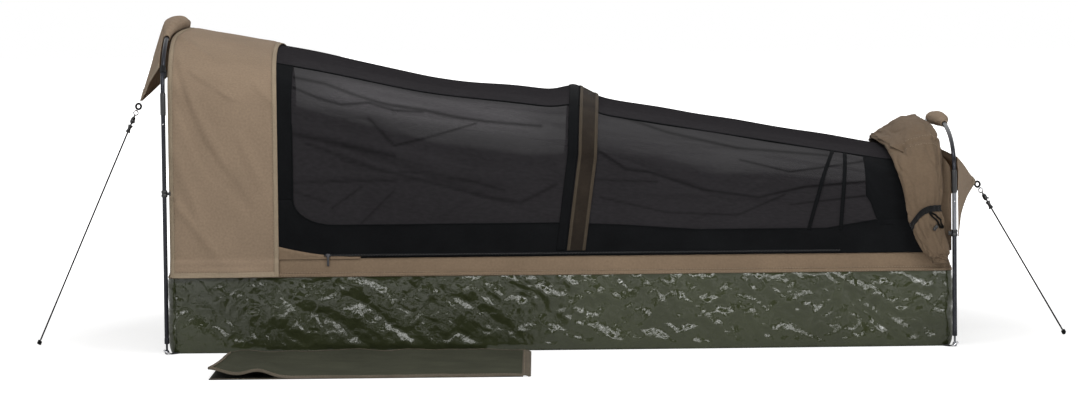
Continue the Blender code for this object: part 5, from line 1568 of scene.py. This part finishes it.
def makeRoll():
    settings = rollSettings
    end = settings["endGirth"]
    bm = gridMesh((settings["sides"], settings["steps"]),
                  lambda u, v: rollPoint((2.0 * v - 1.0) * end, 2 * pi * u), settings["flat"],
                  weldDistance["cloth"])
    for side in (near, far):
        rim = [edge for edge in bm.edges if edge.is_boundary and edge.verts[0].co.y * side > 0]
        loop = list({vert for edge in rim for vert in edge.verts})
        centre = sum((vert.co for vert in loop), Vector()) / len(loop)
        for scale, lift in ((0.86, 0.002), (0.80, 0.010), (0.62, 0.012), (0.56, 0.004), (0.36, 0.003),
                            (0.30, 0.010)):
            rim, inner = extrudeRim(bm, rim)
            for vert in inner:
                flat = vert.co - centre
                vert.co = centre + flat * scale / max(flat.length / 0.026, 0.001) * 0.9 + Vector((0, 0, lift))
        bmesh.ops.edgeloop_fill(bm, edges=rim)
    bmesh.ops.recalc_face_normals(bm, faces=bm.faces)
    # The roll takes the darker copy of the canvas, painted shade
    roll = makeObject("coverRoll", bm, finishes["rollCanvasShaded"])
    settle(roll, "root", ["cover_roll"], keep=rollShare)
    # Stitches along the cover's cross seam, and its loose edge, curled up at the head side
    rows = [(lambda s, side=side, seam=settings["seam"] + shift:
             rollPoint(side * seam, mix(0.25, 2.1, s), 0.0010), 0.13, (0, side * 0.7, 0.7))
            for side in (near, far) for shift in (-0.030, 0.030)]
    settle(makeStitches("rollStitches", rows, finishes["thread"]), "root", keep=rollShare)

    def edgePoint(u, v):
        girth = mix(-0.36, 0.36, v)
        angle = 2.3 + 0.55 * u * (1.0 - (2.0 * v - 1.0) ** 4)
        lift = 0.0014 + 0.004 * u ** 3 * (0.65 + 0.9 * waver(v * 6.0, 2.0, 5.0))
        return rollPoint(girth, angle, lift + 0.0030 * u * sin(v * 23.0))

    settle(makeCloth("rollEdge", (14, 90), edgePoint, (0.12, 0.6), finishes["rollCanvasShaded"], 0.0014),
           "root", keep=rollShare)
    for side in (near, far):
        def surface(u, v):
            girth = strapGirth(2 * pi * v) + (u - 0.5) * settings["strapWidth"]
            return rollPoint(side * girth, 2 * pi * v, 0.0018)

        tag = sideTags[side]
        strap = makeCloth("rollStrap" + tag, (6, 90), surface, (0.017, 0.26), finishes["webbing"], 0.0022)
        settle(strap, "root", ["roll_strap_" + sideNames[side]], keep=rollShare)
        # The cord's slack below the strap: a loop drawn through a lock
        turns = [(cos(step * pi / 9), sin(step * pi / 9)) for step in range(19)]
        trail = [rollPoint(side * (0.745 + 0.055 * along), radians(48 - 24 * along + 13 * across),
                           0.0034 + 0.002 * across) for along, across in turns]
        settle(makeTube("rollCord" + tag, trail, 0.0026, finishes["rope"], resolution=2),
               "root", keep=rollShare)
        place = Matrix.Translation(rollPoint(side * 0.800, radians(66), 0.0050)) @ facing((0.6, 0, 0.8))
        settle(makeTurned("rollLock" + tag, settings["lock"], place, finishes["plastic"], 20),
               "root", keep=rollShare)


makeRoll()
print("rolled cover made")


# Zips along the lower borders

zipSettings = {"head": -0.640, "foot": 0.760, "height": 0.263, "pitch": 0.004,
               "tooth": (0.0022, 0.0012, 0.0040), "stagger": 0.0006}


def makeZip(side):
    name, settings = sideNames[side], zipSettings
    low, high = corners("zip_" + name)
    outer = abs(low.y if side == near else high.y)
    length = settings["foot"] - settings["head"]

    def surface(u, v):
        rise = 0.0006 * sin(pi * v)
        return Vector((mix(low.x, high.x, u), side * (outer - 0.0007 + rise), mix(low.z, high.z, v)))

    settle(makeCloth(name + "ZipTape", (200, 6), surface, (length, 0.010), finishes["border"], 0.0008),
           "root", ["zip_" + name])
    bm = bmesh.new()
    count = round(length / settings["pitch"])
    for index in range(count):
        stagger = settings["stagger"] if index % 2 else -settings["stagger"]
        place = Matrix.Translation((mix(low.x, high.x, (index + 0.5) / count), side * (outer + 0.0001),
                                    settings["height"] + stagger))
        bmesh.ops.create_cube(bm, size=1.0, matrix=place @ Matrix.Diagonal((*settings["tooth"], 1.0)))
    settle(makeObject(name + "ZipTeeth", bm, finishes["plastic"]), "root")
    at = middleOf("zip_slider_" + name)
    parts = [((0.0115, 0.0026, 0.0095), at - Vector((0, side * 0.0012, 0))),
             ((0.0105, 0.0018, 0.0070), at + Vector((0, side * 0.0012, 0))),
             ((0.0050, 0.0020, 0.0030), at + Vector((0, side * 0.0018, 0)))]
    settle(makeBlock(name + "ZipSlider", parts, finishes["zipMetal"], 0.0006),
           name + "_slider", ["zip_slider_" + name])
    at = middleOf("zip_pull_" + name)
    parts = [((0.0056, 0.0014, 0.0180), at + Vector((0, 0, 0.0050))),
             ((0.0060, 0.0016, 0.0110), at - Vector((0, 0, 0.0085)))]
    settle(makeBlock(name + "ZipPull", parts, finishes["zipMetal"], 0.0005),
           name + "_pull", ["zip_pull_" + name])


for side in (near, far):
    makeZip(side)
print("zips made")


# Mattress: a crowned foam block in a quilted cover, with piped edges

mattressSettings = {"cells": (120, 60), "size": (2.07, 0.84), "channels": 7, "channelDepth": 0.0030,
                    "crown": 0.012, "puff": 0.0025, "inset": 0.004, "pinch": 0.006, "pipingRise": 0.056,
                    "piping": 0.0026, "sides": ((0.034, 0.0025), (0.016, 0.0020), (0.0010, -0.0040))}


def makeMattress():
    low, high = corners("mattress")
    settings = mattressSettings
    top, inset = high.z - settings["crown"], settings["inset"]

    def surface(u, v):
        x, y = u * 2.0 - 1.0, v * 2.0 - 1.0
        edge = max(abs(x) ** 14, abs(y) ** 8)
        crown = settings["crown"] * (1.0 - x * x) * (1.0 - y * y)
        channel = settings["channelDepth"] * exp(-((((u * settings["channels"]) % 1.0) - 0.5) / 0.03) ** 2)
        puff = settings["puff"] * waver(x * 5.0, y * 3.0, 1.0)
        z = mix(top + crown - channel * (1.0 - edge) + puff * (1.0 - edge), low.z + 0.055, edge ** 3)
        pinch = settings["pinch"] * x * x
        return Vector((x * (high.x - inset), y * (high.y - pinch - inset), z))

    bm = gridMesh(settings["cells"], surface, settings["size"])
    rim = [edge for edge in bm.edges if edge.is_boundary]
    for lift, grow in settings["sides"]:
        rim, verts = extrudeRim(bm, rim)
        for vert in verts:
            flat = Vector((vert.co.x / high.x, vert.co.y / high.y))
            vert.co.z = low.z + lift
            if abs(flat.x) > 0.97:
                vert.co.x += copysign(grow, vert.co.x)
            if abs(flat.y) > 0.94:
                vert.co.y += copysign(grow, vert.co.y)
    bmesh.ops.edgeloop_fill(bm, edges=rim)
    bmesh.ops.recalc_face_normals(bm, faces=bm.faces)
    cover = settle(makeObject("mattressTop", bm, finishes["mattress"]), "root", ["mattress"])
    rim = [Vector((x * (high.x - inset), y * (high.y - inset - settings["pinch"]),
                   low.z + settings["pipingRise"]))
           for x, y in ((-1, -1), (1, -1), (1, 1), (-1, 1), (-1, -1))]
    trail = [a.lerp(b, step / 30) for a, b in zip(rim, rim[1:]) for step in range(30)]
    piping = makeTube("mattressPiping", trail + [trail[0]], settings["piping"], finishes["border"],
                      resolution=2)
    settle(piping, "root")


makeMattress()
print("mattress made")


# Mat: two layers of green canvas with tan bound edges, open at the head end

matLow, matHigh = corners("mat_base")
matSettings = {
    "mouths": ((0.028, -0.905, 0.060), (0.019, -0.775, 0.045)), "wave": 0.0050, "waveLength": 0.260,
    "backHumps": ((0.0065, -0.845, 0.050), (0.0025, -0.700, 0.060), (0.0070, -0.560, 0.060),
                  (0.0045, -0.400, 0.070), (0.0035, -0.230, 0.080)),
    "hem": 0.009, "scallops": 17, "lipDepth": 0.0060, "closedFrom": -0.700, "tapeWidth": 0.020,
    "narrowHem": 0.006,
    "folds": [(-0.86, -1.05, -0.55, -0.98, 0.016, 0.0050), (-0.70, -0.60, -0.40, -0.66, 0.020, 0.0050),
              (-0.52, -1.06, -0.20, -1.00, 0.018, 0.0045), (-0.60, -0.80, -0.15, -0.86, 0.022, 0.0045),
              (-0.88, -0.62, -0.74, -0.90, 0.016, 0.0050), (-0.30, -0.55, -0.16, -0.72, 0.014, 0.0040)],
}


def matPoint(x, y, out=0.0):
    # The upper layer, whose front edge gapes towards the head end.
    settings = matSettings
    length, depth = matHigh.x - matLow.x, matHigh.y - matLow.y
    across, along = (x - matLow.x) / length, (y - matLow.y) / depth
    gape = sum(swell(x, *mouth) for mouth in settings["mouths"]) * max(1.0 - along, 0.0) ** 1.5
    wave = settings["wave"] * (0.5 - 0.5 * cos(2 * pi * x / settings["waveLength"])) * sin(pi * clamp(across))
    wave *= mix(0.5, 1.0, clamp(along)) * sin(pi * min(1.0, 1.2 * clamp(along)))
    rumple = 0.0045 * (waver(x * 9.0, y * 11.0, 4.0) + 0.5)
    rumple += 0.0016 * (waver(x * 34.0, y * 38.0, 14.0) + 0.4)
    rumple += ridges(settings["folds"], x, y)
    rumple *= smooth(min(across, 1.0 - across) * 14 + 0.15) * mix(0.45, 1.0, smooth(along * 8))
    back = sum(swell(x, *hump) for hump in settings["backHumps"]) + 0.0008 * sin(x * 57.0)
    rumple = max(rumple, 0.0) * mix(0.4, 1.0, smooth((1.0 - along) * 12))
    rumple += max(back, 0.0) * smooth(along * 2.4 - 1.4)
    return Vector((x, y, 0.0046 + gape + wave + max(rumple, 0.0) + out))


def makeMat():
    settings = matSettings
    length, depth = matHigh.x - matLow.x, matHigh.y - matLow.y
    ragged = lambda x: 0.0035 * waver(x * 11.0, 3.0, 1.0)

    def topPoint(u, v, out=0.0):
        x = mix(matLow.x, matHigh.x, u)
        front = matLow.y + ragged(x) + 0.001
        return matPoint(x + 0.003 * waver(v * 6.0, 1.0, 5.0) * (1.0 - u), mix(front, matHigh.y, v), out)

    upper = makeCloth("matTop", (170, 130), topPoint, (length, depth), finishes["mat"], 0.0016, -1.0)
    settle(upper, "mat", ["mat_top"])
    # The lower layer takes the darker canvas, painted shade seen in the mouth
    lower = makeCloth("matBase", (80, 60),
                      lambda u, v: Vector((mix(matLow.x, matHigh.x, u), mix(matLow.y, matHigh.y, v), 0.0018)),
                      (length, depth), finishes["matUnderShade"], 0.0016, -1.0)
    settle(lower, "mat", ["mat_base"])
    hem, narrow, tan = settings["hem"], settings["narrowHem"], finishes["tape"]
    widths = lambda u: hem * (0.45 + 1.3 * smooth((u - 0.55) * 4) * (1.0 - 0.5 * smooth((u - 0.85) * 8)))
    front = makeCloth("matHemFront", (170, 5),
                      lambda u, v: topPoint(u, v * widths(u) / depth, 0.0009 + 0.0006 * sin(pi * v)),
                      (length, hem), tan, 0.0014)

    def lipPoint(u, v):
        # The bound front edge: round the upper layer at the mouth, down to the ground where it is shut.
        top = topPoint(u, 0.0, 0.0012)
        shut = smooth((top.x - settings["closedFrom"]) * 9)
        low = mix(top.z - settings["lipDepth"], 0.0012, shut)
        return Vector((top.x, top.y - 0.0006 - 0.0014 * sin(pi * v), mix(low, top.z, v)))

    lip = makeCloth("matLipFront", (170, 6), lipPoint, (length, 0.008), tan)
    sideLip = makeCloth("matLipHead", (6, 110), lambda u, v: topPoint(0.0, v, 0.0012)
                        + Vector((-0.0006 - 0.0012 * sin(pi * u), 0, -0.0062 * (1.0 - u))), (0.006, depth),
                        tan)
    side = makeCloth("matHemHead", (5, 130),
                     lambda u, v: topPoint(u * hem / length, v, 0.0009 + 0.0006 * sin(pi * u)),
                     (hem, depth), tan, 0.0014)
    back = makeCloth("matHemBack", (170, 4), lambda u, v: topPoint(u, 1.0 - v * narrow / depth, 0.0009),
                     (length, narrow), tan)
    lowerFront = makeCloth("matHemUnder", (120, 3),
                           lambda u, v: Vector((mix(matLow.x, matHigh.x, u), matLow.y + v * narrow,
                                                0.0030 - 0.0004 * v)), (length, narrow), tan, 0.0014)
    for piece in (front, side, back, lowerFront, lip, sideLip):
        settle(piece, "mat")
    # The foot end's wide tape, drawn in by its stitches into scallops
    low, high = corners("mat_end_tape")

    def tapePoint(u, v):
        y = mix(low.y, high.y, v)
        scallop = abs(sin(pi * settings["scallops"] * v))
        width = settings["tapeWidth"] * (0.72 + 0.28 * scallop ** 0.6)
        rise = 0.0046 + 0.0022 * sin(pi * u) * (0.4 + 0.6 * scallop)
        return Vector((low.x - 0.003 + u * (width + 0.003), y, max(rise - 0.0034 * u ** 3, 0.0016)))

    settle(makeCloth("matEndTape", (12, 190), tapePoint, (settings["tapeWidth"], depth), tan, 0.0022, -0.3),
           "mat", ["mat_end_tape"])
    rows = [(lambda s: topPoint(s, widths(s) / depth * 0.8, 0.0022), length, (0, 0, 1)),
            (lambda s: topPoint(hem * 0.8 / length, s, 0.0022), depth, (0, 0, 1)),
            (lambda s: tapePoint(0.25, s) + Vector((0, 0, 0.0014)), depth, (0, 0, 1))]
    settle(makeStitches("matStitches", rows, finishes["thread"]), "mat")
    low, high = corners("mat_strip")
    strip = makeCloth("matStrip", (80, 6),
                      lambda u, v: Vector((mix(low.x, high.x, u), mix(low.y, high.y, v), 0.0022)),
                      (high.x - low.x, high.y - low.y), finishes["webbing"], 0.0020, -1.0)
    settle(strip, "root", ["mat_strip"])


makeMat()
print("mat made")
